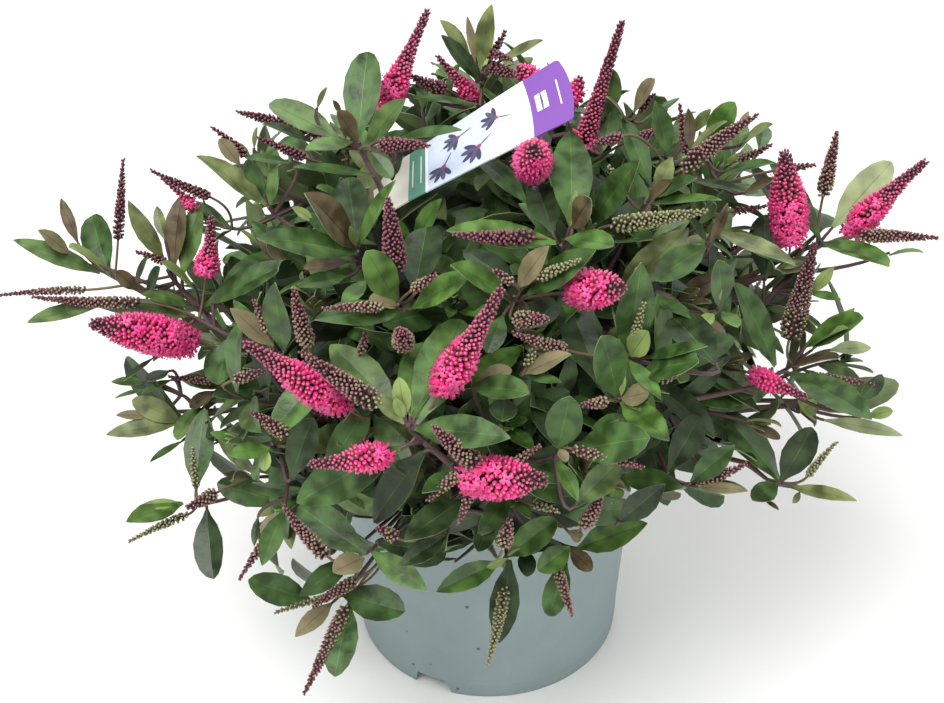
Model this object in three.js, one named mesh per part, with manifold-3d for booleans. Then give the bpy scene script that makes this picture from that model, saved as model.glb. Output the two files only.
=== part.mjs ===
// Hebe shrub in its nursery pot, in millimetres, +Z up.
// The origin is the centre of the pot's underside; +X is to the right and -Y to the front.
// The pot, its compost, a short stem, the boughs, the masses of foliage and a plant label are
// separate closed solids. Azimuths are in degrees from +X towards +Y, so the front is at -90.

import * as THREE from 'three';
import { mergeVertices } from 'three/addons/utils/BufferGeometryUtils.js';
import Module from 'manifold-3d';

// ---------------------------------------------------------------------------------------
// Driving dimensions
// ---------------------------------------------------------------------------------------

const GAP = 0.3;                  // clearance between pieces that touch

const POT = {
  baseRadius: 80,                 // outside, at the ground
  height: 146,
  taper: 3,                       // degrees the wall leans outwards
  wall: 2,
  floorTop: 14.5,                 // inside floor above the ground
  footHeight: 12,                 // height of the foot band and of the recess under the floor
  footStep: 0.8,                  // the foot band stands this far out of the wall
  footWidth: 10.5,                // flat ring that the pot stands on
  bossRadius: 24,                 // flat middle of the underside
  draft: 3,                       // sideways run of the recess's slanted sides
  lipRadius: 91.5,
  lipHeight: 11,
  segments: 40,
};
const NOTCH = { azimuth: -114.5, width: 26.6, height: 9.5, slants: [2.8, 5.6], count: 2 };
const DRAIN = { radius: 3, ring: 47, count: 6, sides: 8 };
const COMPOST = { top: 128, dome: 3, segments: 24 };

const STEM = { foot: 15, waist: 11.5, collarHeight: 149, knuckle: 17, knuckleHeight: 168, segments: 12 };
const BOUGH = { rootRadius: 3.6, tipRadius: 2.4, sides: 6, steps: 4, sag: 5, overlap: 8 };
const LIMB = { rootRadius: 2.6, tipRadius: 1.8 };
const CORE_RADIUS = 52;           // leafless space round the knuckle

const LEAF_DETAIL = 2;            // subdivision of a mass of foliage
const UNEVEN = 0.11;              // depth of the dents and bulges, as a share of the radius
const TIP_SPREAD = 0.34;          // half-angle of a shoot that stands out of a mass, in radians
const FOLIAGE_GAP = 0.5;          // slit between two masses

const RIM_CLEARANCE = 1.5;        // foliage over and round the pot's rim

const LABEL = {
  width: 38, length: 100, thickness: 1, stakeLength: 58, stakeWidth: 13, stakePoint: 5,
  head: [33, -55, 388],           // middle of the short edge at the free end
  shoulder: [-49, -48, 331],      // where the label narrows into its stake
  facing: [-0.57, -0.38, 0.73],   // towards the reader
};

// Masses of foliage: the dome is rings of masses round one on top. size is how far a mass reaches
// outwards, sideways and upwards from its centre, and lift raises a ring on its higher side. tips are
// the ends of the shoots that stand out furthest, each borne by the nearest mass of its ring.
const RINGS = [
  { name: 'top', count: 1, azimuth: 90, reach: 4, height: 312, size: [66, 66, 58],
    tips: [[-1, 12, 402], [-33, 10, 397], [66, 10, 391]] },
  { name: 'upper', count: 5, azimuth: -54, reach: 92, height: 280, size: [58, 66, 56],
    tips: [[-134, 0, 346], [-174, -6, 308], [146, 0, 338], [-44, 78, 345], [70, 92, 340]] },
  { name: 'middle', count: 8, azimuth: -90, reach: 128, height: 221, size: [60, 62, 56], lift: 12,
    tips: [[-214, -32, 226], [84, 176, 262], [-70, 186, 250]] },
  { name: 'low', count: 6, azimuth: -90, reach: 130, height: 168, size: [46, 70, 35], lift: 20,
    outside: true, tips: [[-1, -142, 93], [172, 62, 140], [-160, 92, 128]] },
];
const LIFT_AZIMUTH = -25;         // the dome's skirt is highest on this side

// Sprays that stand out of the dome, each with its centre, its size and the tips of its shoots.
const SPRAYS = [
  { name: 'left_high', centre: [-214, -12, 262], size: [40, 30, 28], limb: 'middle_7',
    tips: [[-257, -5, 272], [-258, -28, 251], [-194, 5, 316]] },
  { name: 'left_middle', centre: [-188, -48, 190], size: [34, 30, 27], tips: [[-213, -50, 177]] },
  { name: 'left_low', centre: [-164, -96, 164], size: [34, 30, 29], outside: true,
    tips: [[-193, -98, 160], [-153, -106, 112]] },
  { name: 'front_left', centre: [-92, -150, 146], size: [28, 36, 34], outside: true,
    tips: [[-99, -146, 77], [-129, -139, 152]] },
  { name: 'front_right', centre: [52, -143, 172], size: [26, 34, 29], outside: true,
    tips: [[31, -145, 136], [86, -136, 176]] },
  { name: 'right_low', centre: [156, -97, 188], size: [34, 30, 25], tips: [[195, -91, 165]] },
  { name: 'right_middle', centre: [186, -42, 194], size: [38, 30, 28],
    tips: [[229, -44, 172], [214, -28, 190]] },
  { name: 'right_high', centre: [193, 0, 278], size: [38, 30, 30], limb: 'middle_3',
    tips: [[237, -10, 278], [229, 5, 314], [181, 15, 328]] },
  { name: 'back_left', centre: [-138, 146, 238], size: [34, 34, 30],
    tips: [[-160, 182, 252]] },
  { name: 'back_right', centre: [148, 128, 246], size: [36, 32, 30], tips: [[184, 154, 262]] },
  { name: 'back_low', centre: [14, 184, 170], size: [30, 38, 30], outside: true,
    tips: [[22, 214, 142]] },
];

const COLOURS = {
  pot: 0x82919a, compost: 0x3b2c22, stem: 0x5b4034, bough: 0x6a4a44, label: 0xd9e2f4,
  foliage: [0x4f7a45, 0x5b8450, 0x466c3e, 0x688e58],
};

// ---------------------------------------------------------------------------------------
// Solids and helpers
// ---------------------------------------------------------------------------------------

const wasm = await Module();
wasm.setup();

const vector = ([x, y, z]) => new THREE.Vector3(x, y, z);
const UP = new THREE.Vector3(0, 0, 1);
const KNUCKLE = new THREE.Vector3(0, 0, STEM.knuckleHeight);
const COLLAR = new THREE.Vector3(0, 0, STEM.collarHeight);

/** A point at an azimuth, a distance from the axis and a height. */
function polar(azimuth, reach, height) {
  const angle = THREE.MathUtils.degToRad(azimuth);
  return new THREE.Vector3(reach * Math.cos(angle), reach * Math.sin(angle), height);
}

/** Repeatable random numbers from 0 to 1 (mulberry32). */
function randomFrom(seed) {
  let state = seed >>> 0;
  return () => {
    state = (state + 0x6d2b79f5) >>> 0;
    let mixed = Math.imul(state ^ (state >>> 15), 1 | state);
    mixed = (mixed + Math.imul(mixed ^ (mixed >>> 7), 61 | mixed)) ^ mixed;
    return ((mixed ^ (mixed >>> 14)) >>> 0) / 4294967296;
  };
}

/** Merges a geometry's shared corners, so that it is one closed surface. */
function welded(geometry) {
  geometry.deleteAttribute('normal');
  geometry.deleteAttribute('uv');
  return mergeVertices(geometry, 1e-4);
}

function toSolid(geometry) {
  const closed = welded(geometry);
  return new wasm.Manifold(new wasm.Mesh({
    numProp: 3,
    vertProperties: new Float32Array(closed.attributes.position.array),
    triVerts: new Uint32Array(closed.index.array),
  }));
}

function toGeometry(solid) {
  const mesh = solid.getMesh();
  const geometry = new THREE.BufferGeometry();
  geometry.setAttribute('position', new THREE.BufferAttribute(mesh.vertProperties.slice(), 3));
  geometry.setIndex(new THREE.BufferAttribute(mesh.triVerts.slice(), 1));
  return geometry;
}

/** Turns a profile of [radius, height] pairs about the Z axis. */
function turned(profile, segments) {
  const points = profile.map(([radius, height]) => new THREE.Vector2(radius, height));
  return new THREE.LatheGeometry(points, segments).rotateX(Math.PI / 2);
}

/** A limb that tapers along a curve: a cylinder whose rings are laid on the curve. */
function taperedTube(curve, rootRadius, tipRadius) {
  const geometry = new THREE.CylinderGeometry(1, 1, 1, BOUGH.sides, BOUGH.steps);
  const position = geometry.attributes.position;
  for (let i = 0; i < position.count; i += 1) {
    const along = 0.5 + position.getY(i);
    const centre = curve.getPoint(along);
    const ahead = curve.getTangent(along);
    const side = new THREE.Vector3().crossVectors(ahead, UP).normalize();
    if (side.lengthSq() < 0.5) side.set(1, 0, 0);
    const over = new THREE.Vector3().crossVectors(side, ahead);
    const radius = THREE.MathUtils.lerp(rootRadius, tipRadius, along);
    centre.addScaledVector(side, position.getX(i) * radius);
    centre.addScaledVector(over, position.getZ(i) * radius);
    position.setXYZ(i, centre.x, centre.y, centre.z);
  }
  return geometry;
}

const part = new THREE.Group();

function addMesh(name, geometry, colour, roughness = 0.8) {
  geometry.computeVertexNormals();
  const material = new THREE.MeshStandardMaterial({ color: colour, roughness, metalness: 0 });
  const mesh = new THREE.Mesh(geometry, material);
  mesh.name = name;
  part.add(mesh);
}

// ---------------------------------------------------------------------------------------
// Pot and compost
// ---------------------------------------------------------------------------------------

/** Outside radius of the pot's wall at a height. */
function wallRadius(height) {
  return POT.baseRadius + height * Math.tan(THREE.MathUtils.degToRad(POT.taper));
}

/** Inside radius of the pot's wall at a height. */
function innerRadius(height) {
  return wallRadius(height) - POT.wall - POT.footStep;
}

/** A prism along +X whose section is a notch with slanted sides, turned to an azimuth. */
function notchCutter(azimuth) {
  const half = NOTCH.width / 2;
  const outline = new THREE.Shape([
    new THREE.Vector2(-half, -0.01),
    new THREE.Vector2(half, -0.01),
    new THREE.Vector2(half - NOTCH.slants[1], NOTCH.height),
    new THREE.Vector2(-half + NOTCH.slants[0], NOTCH.height),
  ]);
  const inner = POT.baseRadius - POT.footWidth - POT.draft - 2;
  const depth = wallRadius(NOTCH.height) + 5 - inner;
  const geometry = new THREE.ExtrudeGeometry(outline, { depth, bevelEnabled: false, steps: 1 });
  geometry.translate(0, 0, inner);
  geometry.rotateX(Math.PI / 2).rotateZ(Math.PI / 2);
  return geometry.rotateZ(THREE.MathUtils.degToRad(azimuth));
}

/** The wall with its foot band and its lip, a ring that is open at both ends. */
function potWall() {
  const footInner = POT.baseRadius - POT.footWidth;
  const lipBottom = POT.height - POT.lipHeight;
  const profile = [
    [footInner, 0],
    [POT.baseRadius, 0],
    [wallRadius(POT.footHeight), POT.footHeight],
    [wallRadius(POT.footHeight) - POT.footStep, POT.footHeight + 1],
    [wallRadius(lipBottom) - POT.footStep, lipBottom],
    [POT.lipRadius - 1, lipBottom],
    [POT.lipRadius, lipBottom + 1],
    [POT.lipRadius, POT.height - 1],
    [POT.lipRadius - 1, POT.height],
    [POT.lipRadius - POT.wall - 1, POT.height],
    [wallRadius(lipBottom) - POT.wall - POT.footStep, lipBottom - 4],
    [innerRadius(POT.footHeight), POT.footHeight],
    [footInner - POT.draft, POT.footHeight],
    [footInner, 0],
  ];
  let solid = toSolid(turned(profile, POT.segments));
  for (let i = 0; i < NOTCH.count; i += 1) {
    solid = solid.subtract(toSolid(notchCutter(NOTCH.azimuth + i * 360 / NOTCH.count)));
  }
  addMesh('pot', toGeometry(solid), COLOURS.pot, 0.6);
}

/** The pierced floor, which lies on the foot, and the flat boss under its middle. */
function potFloor() {
  const bottom = POT.footHeight + GAP;
  const edge = innerRadius(POT.footHeight) - GAP;
  const disc = [[0, bottom], [edge, bottom], [edge, POT.floorTop], [0, POT.floorTop]];
  let solid = toSolid(turned(disc, POT.segments));
  for (let i = 0; i < DRAIN.count; i += 1) {
    const hole = new THREE.CylinderGeometry(DRAIN.radius, DRAIN.radius, POT.floorTop, DRAIN.sides);
    const at = polar(i * 360 / DRAIN.count, DRAIN.ring, POT.floorTop);
    solid = solid.subtract(toSolid(hole.rotateX(Math.PI / 2).translate(at.x, at.y, at.z)));
  }
  addMesh('pot_floor', toGeometry(solid), COLOURS.pot, 0.6);

  const wide = POT.bossRadius + POT.draft;
  const boss = [[0, 0], [POT.bossRadius, 0], [wide, POT.footHeight], [0, POT.footHeight]];
  addMesh('pot_boss', welded(turned(boss, POT.segments)), COLOURS.pot, 0.6);
}

function compost() {
  const inside = (height) => innerRadius(height) - GAP - 0.4;
  const profile = [
    [0, POT.floorTop + GAP],
    [inside(POT.floorTop), POT.floorTop + GAP],
    [inside(COMPOST.top - COMPOST.dome), COMPOST.top - COMPOST.dome],
    [POT.baseRadius * 0.6, COMPOST.top],
    [0, COMPOST.top],
  ];
  addMesh('compost', welded(turned(profile, COMPOST.segments)), COLOURS.compost, 1);
}

// ---------------------------------------------------------------------------------------
// Foliage
// ---------------------------------------------------------------------------------------

/** A mass of foliage before its limits are known: centre, frame, size and the tips of its shoots. */
function makeMass({ name, centre, size, tips = [], outside = false, limb = null }, seed) {
  const at = vector(centre);
  const out = new THREE.Vector3(at.x, at.y, 0);
  if (out.length() < 10) out.set(1, 0, 0);
  out.normalize();
  const side = new THREE.Vector3().crossVectors(UP, out);
  const random = randomFrom(seed);
  const waves = Array.from({ length: 5 }, () => ({
    axis: new THREE.Vector3(random() - 0.5, random() - 0.5, random() - 0.5).normalize(),
    pitch: 3 + 4 * random(),
    phase: 2 * Math.PI * random(),
  }));
  const mean = Math.cbrt(size[0] * size[1] * size[2]);
  return { name, at, out, side, size, mean, waves, outside, limb, tips: tips.map(vector), limits: [] };
}

/** Radius of a mass in one direction from its centre, before it meets its neighbours. */
function freeRadius(mass, direction) {
  const [outwards, sideways, upwards] = mass.size;
  const smooth = 1 / Math.hypot(
    direction.dot(mass.out) / outwards,
    direction.dot(mass.side) / sideways,
    direction.z / upwards,
  );
  let wave = 0;
  for (const { axis, pitch, phase } of mass.waves) wave += Math.cos(pitch * direction.dot(axis) + phase);
  let radius = smooth * (1 + UNEVEN * wave / Math.sqrt(mass.waves.length));
  for (const tip of mass.tips) {
    const reach = tip.clone().sub(mass.at);
    const angle = direction.angleTo(reach);
    const share = Math.exp(-((angle / TIP_SPREAD) ** 2));
    radius = Math.max(radius, smooth + (reach.length() - smooth) * share);
  }
  return radius;
}

/** Keeps a mass on its own side of a plane that lies at a distance along a direction. */
function limit(mass, direction, distance) {
  mass.limits.push({ normal: direction.clone().normalize(), distance });
}

/** Sets the planes between each two masses, round the leafless core and off the pot's rim. */
function setLimits(masses) {
  for (const mass of masses) {
    for (const other of masses) {
      if (other === mass) continue;
      const towards = other.at.clone().sub(mass.at);
      const span = towards.length();
      const share = (span ** 2 + mass.mean ** 2 - other.mean ** 2) / (2 * span);
      limit(mass, towards, share - FOLIAGE_GAP / 2);
    }
    const inwards = KNUCKLE.clone().sub(mass.at);
    limit(mass, inwards, inwards.length() - CORE_RADIUS);
    if (mass.outside) {
      const reach = Math.hypot(mass.at.x, mass.at.y);
      limit(mass, mass.out.clone().negate(), reach - POT.lipRadius - RIM_CLEARANCE);
    } else {
      limit(mass, UP.clone().negate(), mass.at.z - POT.height - RIM_CLEARANCE);
    }
  }
}

/** The uneven closed surface of a mass, larger by extra all round. */
function massGeometry(mass, extra = 0) {
  const geometry = welded(new THREE.IcosahedronGeometry(1, LEAF_DETAIL));
  const position = geometry.attributes.position;
  const directions = Array.from({ length: position.count }, (_, i) =>
    new THREE.Vector3().fromBufferAttribute(position, i).normalize());
  const taken = new Set();
  for (const tip of mass.tips) {
    const wanted = tip.clone().sub(mass.at).normalize();
    let nearest = -1;
    directions.forEach((direction, i) => {
      if (taken.has(i)) return;
      if (nearest < 0 || direction.dot(wanted) > directions[nearest].dot(wanted)) nearest = i;
    });
    taken.add(nearest);
    directions[nearest] = wanted;
  }
  directions.forEach((direction, i) => {
    let radius = freeRadius(mass, direction);
    for (const { normal, distance } of mass.limits) {
      const towards = direction.dot(normal);
      if (towards > 1e-6) radius = Math.min(radius, distance / towards);
    }
    const point = mass.at.clone().addScaledVector(direction, radius + extra);
    position.setXYZ(i, point.x, point.y, point.z);
  });
  return geometry;
}

function ringMasses() {
  const masses = [];
  for (const [tier, ring] of RINGS.entries()) {
    for (let i = 0; i < ring.count; i += 1) {
      const random = randomFrom(100 * (tier + 1) + i);
      const azimuth = ring.azimuth + (i + 0.18 * (random() - 0.5)) * 360 / ring.count;
      const facing = Math.cos(THREE.MathUtils.degToRad(azimuth - LIFT_AZIMUTH));
      const height = ring.height + (ring.lift ?? 0) * Math.max(0, facing) + 8 * (random() - 0.5);
      const centre = polar(azimuth, ring.reach, height).toArray();
      const size = ring.size.map((length) => length * (0.95 + 0.1 * random()));
      const name = ring.count === 1 ? ring.name : `${ring.name}_${i + 1}`;
      const { outside } = ring;
      masses.push(makeMass({ name, centre, size, outside }, 1000 * (tier + 1) + i));
    }
    const members = masses.slice(-ring.count);
    for (const tip of (ring.tips ?? []).map(vector)) {
      members.sort((a, b) => a.at.distanceTo(tip) - b.at.distanceTo(tip));
      members[0].tips.push(tip);
    }
  }
  return masses;
}

// ---------------------------------------------------------------------------------------
// Stem, boughs and limbs
// ---------------------------------------------------------------------------------------

function stemGeometry(extra = 0) {
  const foot = COMPOST.top + GAP;
  const top = STEM.knuckleHeight + STEM.knuckle;
  const profile = [
    [0, foot],
    [STEM.foot + extra, foot],
    [STEM.waist + 1.5 + extra, foot + 6],
    [STEM.waist + extra, STEM.collarHeight],
    [STEM.knuckle * 0.85 + extra, STEM.knuckleHeight - 9],
    [STEM.knuckle + extra, STEM.knuckleHeight],
    [STEM.knuckle * 0.75 + extra, top - 5],
    [0, top + extra],
  ];
  return welded(turned(profile, STEM.segments));
}

/** One limb from a start towards the middle of a mass, bent upwards, and cut by what it meets. */
function limbSolid(start, mass, radii, cutters) {
  const inwards = start.clone().sub(mass.at).normalize();
  const end = mass.at.clone().addScaledVector(inwards, BOUGH.overlap);
  const middle = start.clone().lerp(end, 0.5);
  middle.z -= BOUGH.sag;
  const curve = new THREE.QuadraticBezierCurve3(start, middle, end);
  let solid = toSolid(taperedTube(curve, radii.rootRadius, radii.tipRadius));
  for (const cutter of cutters) solid = solid.subtract(cutter);
  return solid;
}

// ---------------------------------------------------------------------------------------
// Plant label
// ---------------------------------------------------------------------------------------

/** The label as a flat plate with a pointed stake, larger by extra all round. */
function labelGeometry(extra = 0) {
  const half = LABEL.width / 2 + extra;
  const stake = LABEL.stakeWidth / 2 + extra;
  const point = -LABEL.stakeLength - extra;
  const outline = new THREE.Shape([
    new THREE.Vector2(LABEL.length + extra, -half),
    new THREE.Vector2(LABEL.length + extra, half),
    new THREE.Vector2(0, half),
    new THREE.Vector2(-(half - stake), stake),
    new THREE.Vector2(point, LABEL.stakePoint / 2 + extra),
    new THREE.Vector2(point, -LABEL.stakePoint / 2 - extra),
    new THREE.Vector2(-(half - stake), -stake),
    new THREE.Vector2(0, -half),
  ].reverse());
  const depth = LABEL.thickness + 2 * extra;
  const geometry = new THREE.ExtrudeGeometry(outline, { depth, bevelEnabled: false, steps: 1 });
  geometry.translate(0, 0, -depth / 2);
  const along = vector(LABEL.head).sub(vector(LABEL.shoulder)).normalize();
  const across = new THREE.Vector3().crossVectors(vector(LABEL.facing), along).normalize();
  const facing = new THREE.Vector3().crossVectors(along, across);
  const frame = new THREE.Matrix4().makeBasis(along, across, facing).setPosition(...LABEL.shoulder);
  return welded(geometry.applyMatrix4(frame));
}

// ---------------------------------------------------------------------------------------
// Assembly
// ---------------------------------------------------------------------------------------

function plant() {
  const domed = ringMasses();
  const outlying = SPRAYS.map((spray, i) => makeMass({ ...spray, name: spray.name }, 9000 + i));
  const masses = [...domed, ...outlying];
  setLimits(masses);

  const labelSlot = toSolid(labelGeometry(GAP));
  const solids = new Map(masses.map((mass) => [mass.name, toSolid(massGeometry(mass)).subtract(labelSlot)]));
  masses.forEach((mass, i) => {
    const colour = COLOURS.foliage[i % COLOURS.foliage.length];
    addMesh(`foliage_${mass.name}`, toGeometry(solids.get(mass.name)), colour, 0.7);
  });

  const stemSpace = toSolid(stemGeometry(GAP));
  for (const mass of domed) {
    const fork = mass.outside ? COLLAR : KNUCKLE;
    const towards = mass.at.clone().sub(fork).normalize();
    const start = fork.clone().addScaledVector(towards, (mass.outside ? STEM.waist : STEM.knuckle) - 3);
    const cutters = [stemSpace, toSolid(massGeometry(mass, GAP + 0.1))];
    addMesh(`bough_${mass.name}`, toGeometry(limbSolid(start, mass, BOUGH, cutters)), COLOURS.bough);
  }
  for (const mass of outlying.filter((spray) => spray.limb)) {
    const parent = masses.find((other) => other.name === mass.limb);
    const cutters = [toSolid(massGeometry(mass, GAP + 0.1)), toSolid(massGeometry(parent, GAP + 0.1))];
    addMesh(`limb_${mass.name}`, toGeometry(limbSolid(parent.at, mass, LIMB, cutters)), COLOURS.bough);
  }
  addMesh('stem', stemGeometry(), COLOURS.stem);
  addMesh('label', labelGeometry(), COLOURS.label, 0.5);
}

potWall();
potFloor();
compost();
plant();

export default part;
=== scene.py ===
"""A hebe shrub in flower, in a grey nursery pot with a plant label in its crown."""
from __future__ import annotations

import logging
import math
from collections.abc import Callable
from dataclasses import dataclass, field
from enum import Enum

import bpy
import numpy as np
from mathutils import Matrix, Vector
from mathutils.bvhtree import BVHTree


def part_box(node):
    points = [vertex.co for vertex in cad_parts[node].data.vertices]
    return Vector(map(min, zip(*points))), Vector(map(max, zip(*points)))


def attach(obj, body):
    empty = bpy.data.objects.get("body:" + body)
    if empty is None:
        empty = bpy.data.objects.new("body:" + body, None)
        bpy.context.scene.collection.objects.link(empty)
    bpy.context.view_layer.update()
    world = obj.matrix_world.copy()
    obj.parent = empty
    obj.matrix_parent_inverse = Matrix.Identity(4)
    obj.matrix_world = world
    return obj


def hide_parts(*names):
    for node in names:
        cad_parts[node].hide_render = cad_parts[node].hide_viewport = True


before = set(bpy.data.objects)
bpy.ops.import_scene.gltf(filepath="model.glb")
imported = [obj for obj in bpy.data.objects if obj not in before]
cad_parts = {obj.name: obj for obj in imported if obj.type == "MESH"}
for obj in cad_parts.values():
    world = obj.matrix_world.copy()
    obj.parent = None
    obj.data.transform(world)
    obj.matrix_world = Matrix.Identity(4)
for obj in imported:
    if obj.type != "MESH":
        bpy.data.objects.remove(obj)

MM = 0.001
GOLDEN_ANGLE = math.pi * (3.0 - math.sqrt(5.0))
UP = np.array([0.0, 0.0, 1.0])
LOG = logging.getLogger("hebe")


# ----------------------------------------------------------------------------------------
# Small helpers
# ----------------------------------------------------------------------------------------

def unit(vectors: np.ndarray) -> np.ndarray:
    """Scale vectors to length one.

    Args:
        vectors: One vector, or rows of vectors.

    Returns:
        The same shape, each vector of length one.
    """
    length = np.linalg.norm(vectors, axis=-1, keepdims=True)
    return vectors / np.maximum(length, 1e-9)


def linear(code: str) -> tuple[float, float, float, float]:
    """Turn an sRGB hex colour to linear RGBA.

    Args:
        code: Six hex digits, such as "4f7a45".

    Returns:
        Linear red, green, blue and alpha.
    """
    channels = [int(code[i:i + 2], 16) / 255.0 for i in (0, 2, 4)]
    return (*(c / 12.92 if c <= 0.04045 else ((c + 0.055) / 1.055) ** 2.4 for c in channels), 1.0)


def deselect() -> None:
    """Leave nothing selected, so that an operator acts only on what it is given."""
    if bpy.context.object and bpy.context.object.mode != "OBJECT":
        bpy.ops.object.mode_set(mode="OBJECT")
    bpy.ops.object.select_all(action="DESELECT")


def only(obj: bpy.types.Object) -> None:
    """Make one object the only selected and the active one.

    Args:
        obj: The object.
    """
    deselect()
    obj.select_set(True)
    bpy.context.view_layer.objects.active = obj


def add_object(name: str, data: bpy.types.ID) -> bpy.types.Object:
    """Put an object that bears some data in the scene.

    Args:
        name: Its name.
        data: A mesh, a curve, a lamp or a camera.

    Returns:
        The object.
    """
    obj = bpy.data.objects.new(name, data)
    bpy.context.scene.collection.objects.link(obj)
    return obj


def bezier(points: np.ndarray, steps: int) -> np.ndarray:
    """Sample a cubic curve.

    Args:
        points: Its four control points.
        steps: How many samples to give.

    Returns:
        Rows of points along the curve.
    """
    t = np.linspace(0.0, 1.0, steps)[:, None]
    weights = ((1 - t) ** 3, 3 * t * (1 - t) ** 2, 3 * t ** 2 * (1 - t), t ** 3)
    return sum(weight * point for weight, point in zip(weights, points))


def along(path: np.ndarray, distances: np.ndarray) -> tuple[np.ndarray, np.ndarray]:
    """Find points on a path by their distance back from its end.

    Args:
        path: Rows of points.
        distances: Distances back from the last point.

    Returns:
        The points and the path's unit direction at each.
    """
    steps = np.linalg.norm(np.diff(path, axis=0), axis=1)
    reach = np.concatenate([[0.0], np.cumsum(steps)])
    wanted = np.clip(reach[-1] - distances, 0.0, reach[-1])
    points = np.stack([np.interp(wanted, reach, path[:, k]) for k in range(3)], axis=1)
    index = np.clip(np.searchsorted(reach, wanted) - 1, 0, len(steps) - 1)
    return points, unit(path[index + 1] - path[index])


def perpendicular(direction: np.ndarray, hint: np.ndarray) -> np.ndarray:
    """Give the part of a hint that is square to a direction, as a unit vector."""
    return unit(hint - direction * np.sum(hint * direction, axis=-1, keepdims=True))


# ----------------------------------------------------------------------------------------
# Finishes
# ----------------------------------------------------------------------------------------

def add_node(tree: bpy.types.NodeTree, kind: str, settings: dict | None = None,
             links: dict | None = None) -> bpy.types.Node:
    """Add a shader node, set its values and link its inputs.

    Args:
        tree: The material's node tree.
        kind: The node's type name without its ShaderNode prefix.
        settings: Values by name, for a property or an input socket.
        links: Output sockets by the name of the input that each feeds.

    Returns:
        The new node.
    """
    node = tree.nodes.new("ShaderNode" + kind)
    for key, value in (settings or {}).items():
        if isinstance(key, int) or key in node.inputs:
            node.inputs[key].default_value = value
        else:
            setattr(node, key, value)
    for key, socket in (links or {}).items():
        tree.links.new(socket, node.inputs[key])
    return node


def add_noise(tree: bpy.types.NodeTree, place: bpy.types.Node, size_mm: float, detail: float,
              roughness: float = 0.5) -> bpy.types.Node:
    """Add a clouded pattern in the object's own coordinates.

    Args:
        tree: The material's node tree.
        place: The node that gives the object's coordinates.
        size_mm: The size of its clouds, in millimetres.
        detail: How many finer layers lie over them.
        roughness: How strong the finer layers are.

    Returns:
        The noise node.
    """
    return add_node(tree, "TexNoise",
                    {"Scale": 1.0 / (size_mm * MM), "Detail": detail, "Roughness": roughness},
                    {"Vector": place.outputs["Object"]})


def add_gloss(tree: bpy.types.NodeTree, shader: bpy.types.Node, clouds: bpy.types.Node,
              roughness: tuple[float, float]) -> None:
    """Let the roughness of a surface follow a clouded pattern.

    Args:
        tree: The material's node tree.
        shader: Its Principled node.
        clouds: The noise node.
        roughness: The least and the most roughness.
    """
    low, high = roughness
    gloss = add_node(tree, "MapRange", {"From Min": 0.3, "From Max": 0.7, "To Min": low, "To Max": high},
                     {"Value": clouds.outputs["Fac"]})
    tree.links.new(gloss.outputs["Result"], shader.inputs["Roughness"])


def add_relief(tree: bpy.types.NodeTree, shader: bpy.types.Node, clouds: bpy.types.Node,
               height_mm: float) -> None:
    """Raise a surface by a clouded pattern.

    Args:
        tree: The material's node tree.
        shader: Its Principled node.
        clouds: The noise node.
        height_mm: The height of the relief, in millimetres.
    """
    bump = add_node(tree, "Bump", {"Distance": height_mm * MM}, {"Height": clouds.outputs["Fac"]})
    tree.links.new(bump.outputs["Normal"], shader.inputs["Normal"])


@dataclass(frozen=True)
class Finish:
    """A surface with one base colour, uneven gloss, a fine relief and, if it is mottled, soft blotches of
    random tone and painted sheen.
    """

    name: str
    colour: str
    roughness: tuple[float, float] = (0.45, 0.6)
    patch_mm: float = 6.0
    grain_mm: float = 1.5
    relief_mm: float = 0.1
    sheen: float = 0.0
    specular: float = 0.5
    mottle: float = 0.0
    blotch_mm: float = 9.0

    def material(self) -> bpy.types.Material:
        """Build the finish, or give it back if it is already built."""
        known = bpy.data.materials.get(self.name)
        if known:
            return known
        material = bpy.data.materials.new(self.name)
        material.use_nodes = True
        tree = material.node_tree
        shader = tree.nodes["Principled BSDF"]
        shader.inputs["Base Color"].default_value = linear(self.colour)
        shader.inputs["Specular IOR Level"].default_value = self.specular
        shader.inputs["Sheen Weight"].default_value = self.sheen
        self.dress(tree, shader)
        return material

    def dress(self, tree: bpy.types.NodeTree, shader: bpy.types.Node) -> None:
        """Add the gloss, the relief and any blotches of tone and painted sheen.

        Args:
            tree: The material's node tree.
            shader: Its Principled node.
        """
        place = add_node(tree, "TexCoord")
        add_gloss(tree, shader, add_noise(tree, place, self.patch_mm, detail=2.0), self.roughness)
        add_relief(tree, shader, add_noise(tree, place, self.grain_mm, detail=3.0), self.relief_mm)
        if self.mottle:
            self.add_blotches(tree, shader, place)

    def add_blotches(self, tree: bpy.types.NodeTree, shader: bpy.types.Node, place: bpy.types.Node) -> None:
        """Let the colour drift between a deeper tone and a paler one that is painted sheen: the colour
        brightened and greyed as if a soft highlight lay on it.

        Args:
            tree: The material's node tree.
            shader: Its Principled node.
            place: The node that gives the object's coordinates.
        """
        blotches = add_noise(tree, place, self.blotch_mm, detail=1.5)
        share = add_node(tree, "MapRange", {"From Min": 0.36, "From Max": 0.66},
                         {"Value": blotches.outputs["Fac"]})
        red, green, blue, alpha = linear(self.colour)
        deep = (*(tone * (1.0 - self.mottle) for tone in (red, green, blue)), alpha)
        # The paler end is painted sheen: each channel brightened and a little grey added, as soft
        # highlights on the wax.
        pale = (*(tone * (1.0 + self.mottle) + 0.02 * self.mottle for tone in (red, green, blue)), alpha)
        drift = add_node(tree, "Mix", {"data_type": "RGBA", 6: deep, 7: pale}, {0: share.outputs["Result"]})
        tree.links.new(drift.outputs[2], shader.inputs["Base Color"])


def waxy(name: str, colour: str) -> Finish:
    """A leathery leaf face with a waxy cuticle: blotched colour with painted sheen under a broad, soft
    gloss.
    """
    return Finish(f"hebe_leaf_waxy_{name}", colour, roughness=(0.34, 0.5), patch_mm=9.0, grain_mm=5.0,
                  relief_mm=0.4, specular=0.42, mottle=0.47)


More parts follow.
